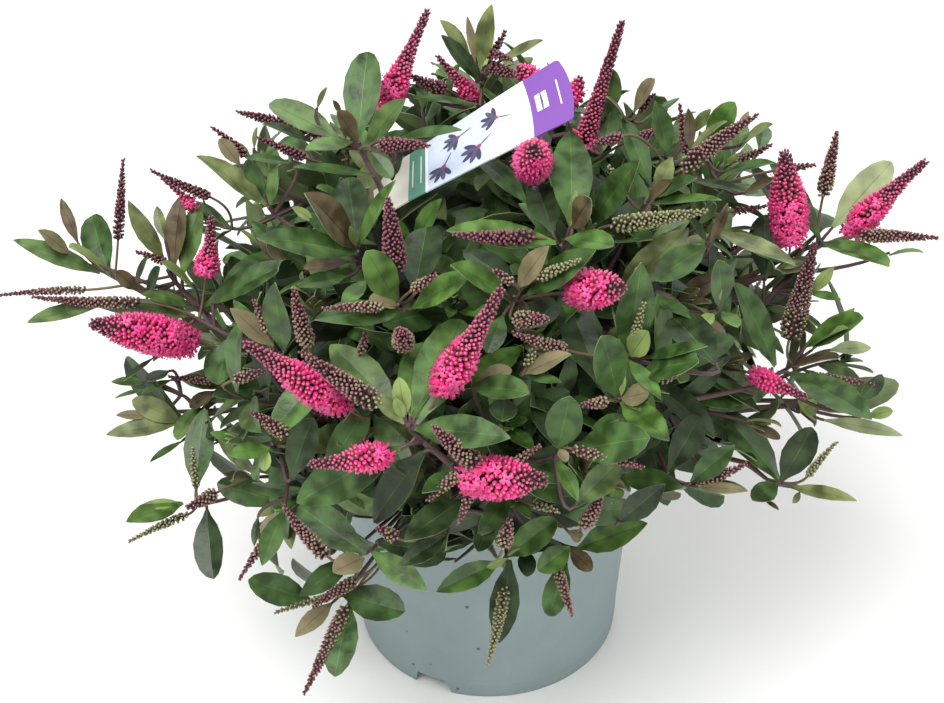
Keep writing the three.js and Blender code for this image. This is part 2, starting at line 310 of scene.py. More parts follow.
def thin(name: str, colour: str) -> Finish:
    """A young or shaded side of a leaf: thinner, matt, with a fine grain and faint blotches of tone and
    painted sheen.
    """
    return Finish(f"hebe_leaf_{name}", colour, roughness=(0.45, 0.6), patch_mm=5.0, grain_mm=1.3,
                  relief_mm=0.08, mottle=0.2)


def velvet(name: str, colour: str) -> Finish:
    """A bud, petal or stamen: thin, matt and faintly velvety."""
    return Finish(f"hebe_{name}", colour, roughness=(0.5, 0.65), patch_mm=2.0, grain_mm=0.6,
                  relief_mm=0.05, sheen=0.1)


def printed(name: str, colour: str, roughness: tuple[float, float] = (0.32, 0.42)) -> Finish:
    """A face of the label: satin plastic sheet, printed or bare."""
    return Finish(f"label_{name}", colour, roughness=roughness, patch_mm=9.0, grain_mm=0.8, relief_mm=0.02)


class Leaf(Enum):
    """Tints of a leaf's face, from the oldest to the youngest, and of its other parts. The two darkest are
    darkened past a leaf's own colour as painted shade for leaves deep in the crown.
    """

    # Painted shade: the deep tint is a near-black green for leaves deep in the crown, and the old tint an
    # old leaf's dark green darkened further.
    DEEP_SHADE = waxy("deep", "101b0a")
    OLD_AND_SHADED = waxy("old", "233715")
    GREEN = waxy("green", "395624")
    SAGE = waxy("sage", "4e6633")
    FRESH = waxy("fresh", "4a6c2a")
    OLIVE = waxy("olive", "687243")
    BRONZE = waxy("bronze", "5a4d34")
    TAN = thin("tan", "7f7657")
    PALE = thin("pale", "8d9a6c")
    YOUNG = thin("young", "869a57")
    BACK = thin("back", "66764d")
    RIB = thin("rib", "5a7142")
    MARGIN = thin("margin", "71895a")


LEAF_ORDER = list(Leaf)
DEEP_SHADE, OLD_AND_SHADED, GREEN, SAGE, FRESH, OLIVE, BRONZE, TAN, PALE, YOUNG, BACK, RIB, MARGIN = LEAF_ORDER
# The tint of the rib on a face of each tint: the rib's own paler tint on a dark face, and on a light face a
# darker one that is painted shade in the groove of the fold.
RIB_TINTS_AND_GROOVE_SHADE = {DEEP_SHADE: OLD_AND_SHADED, OLD_AND_SHADED: GREEN, GREEN: FRESH, SAGE: GREEN, FRESH: GREEN, OLIVE: FRESH, BRONZE: DEEP_SHADE,
        TAN: BRONZE, PALE: OLIVE, YOUNG: FRESH}


class Petal(Enum):
    """Tints of buds, calyces, petals and stamens. The tip tints are paler bud ends with a painted highlight
    on them.
    """

    MAROON = velvet("bud_maroon", "461f27")
    PLUM = velvet("bud_plum", "623e3f")
    KHAKI = velvet("bud_khaki", "60583a")
    ROSY = velvet("bud_rosy", "a83458")
    WINE = velvet("bud_wine", "5e2138")
    # The tip tints: each a paler bud end with a painted highlight.
    TIP = velvet("bud_tip_with_highlight", "96736a")
    DARK_TIP = velvet("bud_dark_tip_with_highlight", "8a525a")
    ROSE_TIP = velvet("bud_rose_tip_with_highlight", "d5628a")
    WINE_TIP = velvet("bud_wine_tip_with_highlight", "a4586c")
    OLIVE = velvet("bud_olive", "656b43")
    CREAM = velvet("bud_cream_tip_with_highlight", "96926a")
    PINK = velvet("petal_pink", "ec3585")
    LIGHT = velvet("petal_light", "f75d9f")
    THROAT = velvet("petal_throat", "8e1d4e")


PETAL_ORDER = list(Petal)


# ----------------------------------------------------------------------------------------
# Templates: small shapes that are copied many times
# ----------------------------------------------------------------------------------------

@dataclass
class Template:
    """A small modelled shape as arrays, ready to be copied."""

    points: np.ndarray
    corners: np.ndarray
    totals: np.ndarray
    slots: np.ndarray
    rim: np.ndarray

    @staticmethod
    def take(obj: bpy.types.Object, rim: np.ndarray | None = None) -> "Template":
        """Read a modelled object into arrays and remove it.

        Args:
            obj: The modelled object.
            rim: A mark for each point; edges between points with one mark other than 0 stay sharp.

        Returns:
            The template.
        """
        mesh = obj.data
        points = np.empty(len(mesh.vertices) * 3)
        mesh.vertices.foreach_get("co", points)
        corners = np.empty(len(mesh.loops), dtype=np.int32)
        mesh.loops.foreach_get("vertex_index", corners)
        totals = np.empty(len(mesh.polygons), dtype=np.int32)
        mesh.polygons.foreach_get("loop_total", totals)
        slots = np.empty(len(mesh.polygons), dtype=np.int32)
        mesh.polygons.foreach_get("material_index", slots)
        count = len(mesh.vertices)
        bpy.data.objects.remove(obj)
        bpy.data.meshes.remove(mesh)
        marks = np.zeros(count, dtype=np.int8) if rim is None else rim
        return Template(points.reshape(-1, 3), corners, totals, slots, marks)


def edit(obj: bpy.types.Object, kind: str = "VERT") -> None:
    """Enter edit mode on one object with nothing in it selected.

    Args:
        obj: The object.
        kind: What is selected from then on: VERT, EDGE or FACE.
    """
    only(obj)
    bpy.ops.object.mode_set(mode="EDIT")
    bpy.ops.mesh.select_mode(type=kind)
    bpy.ops.mesh.select_all(action="DESELECT")


def pick(obj: bpy.types.Object, chosen: Callable[[Vector], bool]) -> None:
    """Select the points of an object in edit mode for which a test on their place holds.

    Args:
        obj: The object being edited.
        chosen: A function from a point's place to True or False.
    """
    bpy.ops.mesh.select_all(action="DESELECT")
    bpy.ops.object.mode_set(mode="OBJECT")
    for vertex in obj.data.vertices:
        vertex.select = bool(chosen(vertex.co))
    bpy.ops.object.mode_set(mode="EDIT")


def stretch(x: float, y: float, z: float) -> None:
    """Scale what is selected in edit mode about the origin."""
    bpy.ops.transform.resize(value=(x, y, z), center_override=(0.0, 0.0, 0.0))


def shift(x: float, y: float, z: float) -> None:
    """Move what is selected in edit mode."""
    bpy.ops.transform.translate(value=(x, y, z))


def apply_modifier(obj: bpy.types.Object, name: str, kind: str, **settings) -> None:
    """Give an object a modifier and apply it.

    Args:
        obj: The object, which has to be the active one.
        name: The modifier's name.
        kind: Its type.
        settings: Its properties by name.
    """
    modifier = obj.modifiers.new(name, kind)
    for key, value in settings.items():
        setattr(modifier, key, value)
    bpy.ops.object.modifier_apply(modifier=modifier.name)


@dataclass(frozen=True)
class LeafShape:
    """Outline of a leaf: rows along it from 0 to 1 and half-widths as a share of the widest."""

    rows: tuple[float, ...] = (0.0, 0.1, 0.27, 0.48, 0.68, 0.85, 0.955, 1.0)
    widths: tuple[float, ...] = (0.12, 0.3, 0.76, 1.0, 0.9, 0.56, 0.22, 0.02)
    rib: float = 0.028

    def template(self) -> Template:
        """Model the leaf one unit long and wide, one unit thick, with its rib and its rim.

        Returns:
            The leaf, with slots 0 face, 1 rib, 2 back, 3 back of the rib, and 4 and 5 margin.
        """
        deselect()
        columns, count = 5, len(self.rows) - 1
        bpy.ops.mesh.primitive_grid_add(x_subdivisions=columns, y_subdivisions=count, size=1.0,
                                        location=(0.0, 0.0, 0.0))
        obj = bpy.context.object
        edit(obj)
        pick(obj, lambda co: abs(co.x) < 0.2)
        stretch(self.rib * columns, 1.0, 1.0)
        # A row that is done waits out of the way, so that it isn't picked with a later one.
        aside = 10.0
        old_rows = [i / count - 0.5 for i in range(count + 1)]
        for old, row, width in zip(old_rows, self.rows, self.widths):
            pick(obj, lambda co, old=old: abs(co.y - old) < 1e-4)
            stretch(width, 1.0, 1.0)
            shift(0.0, aside + row - old, 0.0)
        bpy.ops.mesh.select_all(action="SELECT")
        shift(0.0, -aside, 0.0)
        bpy.ops.object.mode_set(mode="OBJECT")
        for face in obj.data.polygons:
            face.material_index = int(abs(face.center.x) < 1e-3)
        back, margin = 2, 4
        for _ in range(margin + 2):
            obj.data.materials.append(None)
        apply_modifier(obj, "Thickness", "SOLIDIFY", thickness=1.0, offset=-1.0, material_offset=back,
                       material_offset_rim=margin)
        marks = np.zeros(len(obj.data.vertices), dtype=np.int8)
        for face in obj.data.polygons:
            if face.material_index >= margin:
                for index in face.vertices:
                    marks[index] = 1 if obj.data.vertices[index].co.z > -0.5 else 2
        return Template.take(obj, marks)


POINTED = LeafShape()
BLUNT = LeafShape(widths=(0.12, 0.28, 0.72, 1.0, 0.97, 0.75, 0.42, 0.06))


def bud_template() -> Template:
    """Model a closed bud, one unit long from its foot and one unit across: a grain with a pale end that
    carries a painted highlight.
    """
    deselect()
    bpy.ops.mesh.primitive_uv_sphere_add(segments=5, ring_count=3, radius=0.5, location=(0.0, 0.0, 0.0))
    obj = bpy.context.object
    edit(obj)
    pick(obj, lambda co: 0.1 < co.z < 0.4)
    stretch(0.96, 0.96, 1.0)
    shift(0.0, 0.0, 0.06)
    pick(obj, lambda co: -0.4 < co.z < -0.1)
    stretch(0.72, 0.72, 1.0)
    bpy.ops.mesh.select_all(action="SELECT")
    shift(0.0, 0.0, 0.5)
    bpy.ops.object.mode_set(mode="OBJECT")
    # The cap takes the tip tint: a paler bud end with a painted highlight.
    for face in obj.data.polygons:
        face.material_index = int(face.center.z > 0.8)
    return Template.take(obj)


def tongue_template() -> Template:
    """Model a floret about to open: a pointed tongue, one unit long and across, dark at its foot."""
    deselect()
    bpy.ops.mesh.primitive_uv_sphere_add(segments=6, ring_count=4, radius=0.5, location=(0.0, 0.0, 0.0))
    obj = bpy.context.object
    edit(obj)
    pick(obj, lambda co: -0.4 < co.z < -0.3)
    stretch(0.75, 0.75, 1.0)
    pick(obj, lambda co: 0.3 < co.z < 0.4)
    stretch(0.8, 0.8, 1.0)
    shift(0.0, 0.0, -0.07)
    bpy.ops.mesh.select_all(action="SELECT")
    shift(0.0, 0.0, 0.5)
    bpy.ops.object.mode_set(mode="OBJECT")
    for face in obj.data.polygons:
        face.material_index = 2 if face.center.z < 0.3 else int(face.center.z > 0.7)
    return Template.take(obj)


def floret_template() -> Template:
    """Model an open floret, one unit long and one across: tube, four blunt lobes and a dark throat."""
    deselect()
    bpy.ops.mesh.primitive_circle_add(vertices=12, radius=0.1, fill_type="NGON", location=(0.0, 0.0, 0.0))
    obj = bpy.context.object
    edit(obj)
    bpy.ops.mesh.select_all(action="SELECT")
    for height, spread in ((0.5, 1.3), (0.4, 3.85)):
        bpy.ops.mesh.extrude_region_move(TRANSFORM_OT_translate={"value": (0.0, 0.0, height)})
        stretch(spread, spread, 1.0)
    bpy.ops.mesh.inset(thickness=0.4)
    shift(0.0, 0.0, -0.28)
    pick(obj, lambda co: co.z > 0.8 and round(math.degrees(math.atan2(co.y, co.x)) / 30.0) % 3 == 0)
    stretch(0.36, 0.36, 1.0)
    shift(0.0, 0.0, -0.2)
    bpy.ops.object.mode_set(mode="OBJECT")
    for face in obj.data.polygons:
        throat = face.normal.z > 0.9 and math.hypot(face.center.x, face.center.y) < 0.05 < face.center.z
        face.material_index = 2 if throat or face.center.z < 0.45 else int(face.normal.z > 0.0)
    return Template.take(obj)


def stamen_template() -> Template:
    """Model a stamen one unit long: a three-sided thread with a swollen end."""
    deselect()
    bpy.ops.mesh.primitive_cone_add(vertices=3, radius1=0.05, radius2=0.04, depth=0.86,
                                    location=(0.0, 0.0, 0.43))
    obj = bpy.context.object
    edit(obj)
    pick(obj, lambda co: co.z > 0.4)
    bpy.ops.mesh.extrude_region_move(TRANSFORM_OT_translate={"value": (0.0, 0.0, 0.05)})
    stretch(2.6, 2.6, 1.0)
    bpy.ops.mesh.extrude_region_move(TRANSFORM_OT_translate={"value": (0.0, 0.0, 0.09)})
    stretch(0.5, 0.5, 1.0)
    bpy.ops.object.mode_set(mode="OBJECT")
    bpy.ops.object.transform_apply(location=True, rotation=True, scale=True)
    for face in obj.data.polygons:
        face.material_index = int(face.center.z > 0.87)
    return Template.take(obj)


class Gathering:
    """Many copies of templates, joined into one piece."""

    def __init__(self, name: str, finishes: list[Finish]) -> None:
        """Start an empty gathering.

        Args:
            name: The piece's name.
            finishes: Its material slots, in order.
        """
        self.name = name
        self.finishes = finishes
        self.blocks: list[tuple[Template, np.ndarray, np.ndarray]] = []

    def add(self, template: Template, points: np.ndarray, slots: np.ndarray) -> None:
        """Add copies of one template.

        Args:
            template: The shape.
            points: Each copy's points in millimetres, as (copies, points, 3).
            slots: Each copy's material slots, as (copies, template slots).
        """
        if len(points):
            self.blocks.append((template, points, slots[:, template.slots]))

    def build(self) -> bpy.types.Object:
        """Join the copies.

        Returns:
            The piece, at the origin, with its finishes.
        """
        points, corners, totals, slots, rims = [], [], [], [], []
        offset = 0
        for template, placed, chosen in self.blocks:
            copies, count = placed.shape[:2]
            starts = offset + count * np.arange(copies)
            points.append(placed.reshape(-1, 3) * MM)
            corners.append((template.corners[None, :] + starts[:, None]).ravel())
            totals.append(np.tile(template.totals, copies))
            slots.append(chosen.ravel())
            rims.append(np.tile(template.rim, copies))
            offset += copies * count
        points, corners, totals = np.concatenate(points), np.concatenate(corners), np.concatenate(totals)
        mesh = bpy.data.meshes.new(self.name)
        mesh.vertices.add(len(points))
        mesh.vertices.foreach_set("co", points.ravel())
        mesh.loops.add(len(corners))
        mesh.loops.foreach_set("vertex_index", corners.astype(np.int32))
        mesh.polygons.add(len(totals))
        starts = np.concatenate([[0], np.cumsum(totals)[:-1]]).astype(np.int32)
        mesh.polygons.foreach_set("loop_start", starts)
        mesh.polygons.foreach_set("material_index", np.concatenate(slots).astype(np.int32))
        mesh.polygons.foreach_set("use_smooth", np.ones(len(totals), dtype=bool))
        mesh.update(calc_edges=True)
        mesh.validate()
        self.keep_rims_sharp(mesh, np.concatenate(rims))
        for finish in self.finishes:
            mesh.materials.append(finish.material())
        return add_object(self.name, mesh)

    @staticmethod
    def keep_rims_sharp(mesh: bpy.types.Mesh, rims: np.ndarray) -> None:
        """Mark the edges that run round a rim as sharp.

        Args:
            mesh: The joined mesh.
            rims: Each point's mark.
        """
        ends = np.empty(len(mesh.edges) * 2, dtype=np.int32)
        mesh.edges.foreach_get("vertices", ends)
        marks = rims[ends.reshape(-1, 2)]
        sharp = (marks[:, 0] == marks[:, 1]) & (marks[:, 0] > 0)
        layer = mesh.attributes.get("sharp_edge") or mesh.attributes.new("sharp_edge", "BOOLEAN", "EDGE")
        layer.data.foreach_set("value", sharp)


def sweep(name: str, runs: list[tuple[np.ndarray, np.ndarray]], finish: Finish,
          roundness: int = 1) -> bpy.types.Object:
    """Sweep round sections along runs and join them into one piece.

    Args:
        name: The piece's name.
        runs: For each run, its points and its radius at each point, in millimetres.
        finish: The piece's finish.
        roundness: The bevel resolution of the section.

    Returns:
        The piece as a mesh.
    """
    deselect()
    curve = bpy.data.curves.new(name, "CURVE")
    curve.dimensions = "3D"
    curve.bevel_depth = 1.0
    curve.bevel_resolution = roundness
    curve.use_fill_caps = True
    for points, radii in runs:
        spline = curve.splines.new("POLY")
        spline.points.add(len(points) - 1)
        places = np.concatenate([points * MM, np.ones((len(points), 1))], axis=1)
        spline.points.foreach_set("co", places.ravel())
        spline.points.foreach_set("radius", np.asarray(radii) * MM)
    only(add_object(name, curve))
    bpy.ops.object.convert(target="MESH")
    piece = bpy.context.object
    piece.name = name
    bpy.ops.object.shade_smooth()
    piece.data.materials.clear()
    piece.data.materials.append(finish.material())
    return piece


# ----------------------------------------------------------------------------------------
# The front view and the crown
# ----------------------------------------------------------------------------------------

@dataclass(frozen=True)
class FrontView:
    """The camera, and the places that show at its pixels. Lengths are in millimetres."""

    target: tuple[float, float, float] = (-10.2, 0.0, 196.4)
    distance: float = 906.9
    elevation: float = 35.47
    focal_px: float = 1600.0
    width_px: float = 944.0
    height_px: float = 703.0
    sensor_mm: float = 36.0

    @property
    def forward(self) -> np.ndarray:
        """The way the camera looks."""
        angle = math.radians(self.elevation)
        return np.array([0.0, math.cos(angle), -math.sin(angle)])

    @property
    def upward(self) -> np.ndarray:
        """Up in the picture."""
        angle = math.radians(self.elevation)
        return np.array([0.0, math.sin(angle), math.cos(angle)])

    @property
    def place(self) -> np.ndarray:
        """Where the camera stands."""
        return np.array(self.target) - self.forward * self.distance

    def ray(self, pixel: tuple[float, float]) -> np.ndarray:
        """The unit direction in which a pixel looks."""
        x = (pixel[0] - self.width_px / 2) / self.focal_px
        y = (self.height_px / 2 - pixel[1]) / self.focal_px
        return unit(self.forward + x * np.array([1.0, 0.0, 0.0]) + y * self.upward)

    def pixels(self, points: np.ndarray) -> tuple[np.ndarray, np.ndarray]:
        """Where points show.

        Args:
            points: Rows of places in millimetres.

        Returns:
            Their pixels, and their depths in front of the camera.
        """
        away = points - self.place
        depth = away @ self.forward
        x = self.width_px / 2 + self.focal_px * away[..., 0] / depth
        y = self.height_px / 2 - self.focal_px * (away @ self.upward) / depth
        return np.stack([x, y], axis=-1), depth

    def on_dome(self, pixel: tuple[float, float], reach: float) -> np.ndarray:
        """The place where a pixel meets the crown's dome, or comes nearest to it.

        Args:
            pixel: Where it shows.
            reach: The dome's size against the crown's own.

        Returns:
            The place, in millimetres.
        """
        scale = DOME.radii * reach
        start = (self.place - DOME.centre) / scale
        ray = self.ray(pixel) / scale
        a, b, c = ray @ ray, start @ ray, start @ start - 1.0
        root = max(b * b - a * c, 0.0)
        distance = (-b - math.sqrt(root)) / a
        return self.place + self.ray(pixel) * distance

    def at_depth(self, pixel: tuple[float, float], y: float) -> np.ndarray:
        """The place where a pixel meets the plane at one y."""
        ray = self.ray(pixel)
        return self.place + ray * ((y - self.place[1]) / ray[1])

    def at_length(self, pixel: tuple[float, float], start: np.ndarray, length: float,
                  towards: bool) -> np.ndarray:
        """The place at a pixel that lies one length away from a start.

        Args:
            pixel: Where the far end shows.
            start: The near end, in millimetres.
            length: The real length between them.
            towards: True for the end nearer to the camera.

        Returns:
            The far end, in millimetres.
        """
        ray = self.ray(pixel)
        middle = (start - self.place) @ ray
        spare = length ** 2 - np.sum((self.place + ray * middle - start) ** 2)
        step = math.sqrt(max(spare, 0.0))
        end = self.place + ray * (middle - step if towards else middle + step)
        return end if end[1] > FRONT_MOST else self.at_depth(pixel, FRONT_MOST)

    def off_crown(self, points: np.ndarray, margin: float = 0.0) -> bool:
        """Whether places show outside the crown's outline.

        Args:
            points: Rows of places in millimetres.
            margin: How many pixels inside the outline they have to stay.

        Returns:
            True if any of them shows above its brow or below its hem.
        """
        across, down = self.pixels(points)[0].T
        brow = np.interp(across, BROW_ACROSS, BROW_DOWN)
        hem = np.interp(across, HEM_ACROSS, HEM_DOWN)
        return bool(np.any((down < brow + margin) | (down > hem - margin)))

    def camera(self) -> None:
        """Set up the camera."""
        data = bpy.data.cameras.new("front_view")
        data.sensor_width = self.sensor_mm
        data.lens = self.focal_px / self.width_px * self.sensor_mm
        obj = add_object("front_view", data)
        obj.location = Vector(self.place * MM)
        obj.rotation_euler = (math.radians(90.0 - self.elevation), 0.0, 0.0)
        bpy.context.scene.camera = obj


@dataclass(frozen=True)
class Dome:
    """The round of the crown, in millimetres."""

    centre: np.ndarray = field(default_factory=lambda: np.array([0.0, 0.0, 190.0]))
    radii: np.ndarray = field(default_factory=lambda: np.array([188.0, 180.0, 180.0]))

    def outward(self, point: np.ndarray) -> np.ndarray:
        """The dome's outward normal nearest to a point."""
        return unit((point - self.centre) / self.radii ** 2)


VIEW = FrontView()
DOME = Dome()
# How far forward, as a y in millimetres, the far end of anything placed by its length may reach.
FRONT_MOST = -197.0
# The crown's outline, in pixels, within which leaves and twigs set by rule stay.
BROW_ACROSS = (0, 50, 100, 125, 150, 190, 215, 260, 300, 345, 360, 385, 400, 430, 450, 500, 545, 575, 625,
               660, 740, 770, 785, 850, 900, 944)
BROW_DOWN = (265, 250, 232, 215, 228, 190, 156, 126, 112, 112, 80, 92, 84, 78, 55, 46, 62, 92, 104, 112,
             118, 136, 176, 222, 250, 270)
HEM_ACROSS = (0, 60, 95, 108, 190, 215, 250, 300, 340, 358, 402, 440, 478, 598, 604, 622, 640, 665, 700,
              800, 860, 900, 944)
HEM_DOWN = (262, 290, 305, 410, 435, 475, 535, 580, 585, 530, 560, 560, 548, 545, 505, 505, 520, 502, 486,
            480, 410, 390, 270)


@dataclass
class Mass:
    """One mass of foliage of the frame: its name, its middle and the sector that it lies in."""

    node: str
    middle: np.ndarray
    sector: str


class Crown:
    """The masses of foliage of the frame, as a surface that shoots grow out to."""

    sectors = ("top", "front", "right", "back", "left")

    def __init__(self) -> None:
        """Read the masses from the frame."""
        self.masses: list[Mass] = []
        points, faces, owners = [], [], []
        offset = 0
        for name in sorted(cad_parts):
            if not name.startswith("foliage_"):
                continue
            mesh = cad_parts[name].data
            places = np.array([vertex.co for vertex in mesh.vertices]) / MM
            low, high = (np.array(corner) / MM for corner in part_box(name))
            middle = places.mean(axis=0)
            for face in mesh.polygons:
                faces.append([index + offset for index in face.vertices])
                owners.append(len(self.masses))
            points.extend(places)
            offset += len(places)
            self.masses.append(Mass(name, middle, self.sector_of(name, (low + high) / 2)))
        self.owners = owners
        self.surface = BVHTree.FromPolygons([Vector(p) for p in points], faces)
        LOG.info("%d masses of foliage, %d faces", len(self.masses), len(faces))

    @staticmethod
    def sector_of(name: str, middle: np.ndarray) -> str:
        """Which sector of the crown a mass lies in.

        Args:
            name: The mass's name.
            middle: The middle of its box.

        Returns:
            The name of the sector.
        """
        if "top" in name or "upper" in name:
            return "top"
        azimuth = math.degrees(math.atan2(middle[1], middle[0])) % 360.0
        return ("right", "back", "left", "front")[int(((azimuth + 45.0) % 360.0) // 90.0)]

    def nearest(self, point: np.ndarray) -> Mass:
        """The mass whose surface lies nearest to a point."""
        index = self.surface.find_nearest(Vector(point))[2]
        return self.masses[self.owners[index]]

    def outside_by(self, point: np.ndarray) -> float:
        """How far a point lies outside the masses; below zero inside."""
        place, normal, _, distance = self.surface.find_nearest(Vector(point))
        return distance if (Vector(point) - place).dot(normal) > 0 else -distance

    def screens(self, points: list[np.ndarray], margin: float) -> bool:
        """Whether the masses stand well before all of some places in the front view.

        Args:
            points: The places, in millimetres.
            margin: How far before each they have to stand.

        Returns:
            True if they do.
        """
        for point in points:
            ray = Vector(point - VIEW.place)
            distance = self.surface.ray_cast(Vector(VIEW.place), ray.normalized())[3]
            if distance is None or distance > ray.length - margin:
                return False
        return True

    def cast(self, origin: np.ndarray, direction: np.ndarray) -> np.ndarray | None:
        """Where a ray from outside first meets the masses."""
        place = self.surface.ray_cast(Vector(origin), Vector(direction))[0]
        return None if place is None else np.array(place)


# ----------------------------------------------------------------------------------------
# Flower spikes and shoots as they are seen from the front
# ----------------------------------------------------------------------------------------

class Hue(Enum):
    """The look of a spike's buds: body, darker body and a paler tip with a painted highlight."""

    DARK = (Petal.MAROON, Petal.MAROON, Petal.DARK_TIP)
    PLUM = (Petal.PLUM, Petal.MAROON, Petal.TIP)
    ROSY = (Petal.WINE, Petal.WINE, Petal.WINE_TIP)
    GREEN = (Petal.OLIVE, Petal.OLIVE, Petal.CREAM)


@dataclass
class Spike:
    """A flower spike: where its foot and its tip show, in pixels, and its real size in millimetres."""

    foot: tuple[float, float]
    tip: tuple[float, float]
    length: float
    girth: float
    bloom: float = 0.0
    hue: Hue = Hue.PLUM
    reach: float = 1.0
    towards: bool = True
    depth: float | None = None
    start: np.ndarray | None = None
    end: np.ndarray | None = None

    def settle(self) -> None:
        """Work out the places of the foot and the tip."""
        if self.depth is None:
            self.start = VIEW.on_dome(self.foot, self.reach)
        else:
            self.start = VIEW.at_depth(self.foot, self.depth)
        self.end = VIEW.at_length(self.tip, self.start, self.length, self.towards)


def open_spikes() -> list[Spike]:
    """The spikes in open flower that the front view shows."""
    rosy = Hue.ROSY
    return [
        Spike(foot=(385, 108), tip=(427, 12), length=60, bloom=0.42, girth=15, hue=rosy, depth=0),
        Spike(foot=(476, 100), tip=(438, 57), length=44, bloom=0.45, girth=10.5, hue=rosy, depth=20),
        Spike(foot=(541, 84), tip=(519, 69), length=26, bloom=0.8, girth=13, hue=rosy, depth=10),
        Spike(foot=(584, 143), tip=(621, 25), length=70, bloom=0.06, girth=18, hue=rosy, depth=5),
        Spike(foot=(571, 106), tip=(580, 78), length=18, bloom=0.85, girth=9.5, hue=rosy, depth=12),
        Spike(foot=(531, 172), tip=(534, 150), length=34, bloom=0.85, girth=19, hue=rosy, reach=1.03),
        Spike(foot=(572, 292), tip=(620, 288), length=34, bloom=0.8, girth=19, hue=rosy, reach=1.08),
        Spike(foot=(790, 244), tip=(785, 154), length=52, bloom=0.7, girth=22, hue=rosy, depth=-20),
        Spike(foot=(848, 236), tip=(924, 163), length=60, bloom=0.5, girth=17, hue=rosy, depth=-5),
        Spike(foot=(196, 343), tip=(94, 324), length=58, bloom=0.78, girth=23, hue=rosy, depth=-45),
        Spike(foot=(193, 207), tip=(163, 179), length=26, bloom=0.3, girth=7.5, hue=rosy, depth=0),
        Spike(foot=(206, 274), tip=(211, 220), length=34, bloom=0.3, girth=15, hue=rosy, depth=-30),
        Spike(foot=(345, 407), tip=(248, 345), length=64, bloom=0.6, girth=17.5, hue=rosy, reach=1.06),
        Spike(foot=(440, 392), tip=(500, 291), length=64, bloom=0.45, girth=18, hue=rosy, reach=1.08),
        Spike(foot=(389, 453), tip=(313, 464), length=44, bloom=0.5, girth=15, hue=rosy, reach=1.1),
        Spike(foot=(462, 478), tip=(541, 480), length=48, bloom=0.75, girth=22, hue=rosy, reach=1.07),
        Spike(foot=(752, 374), tip=(804, 396), length=34, bloom=0.5, girth=12.5, hue=rosy, depth=-70),
    ]


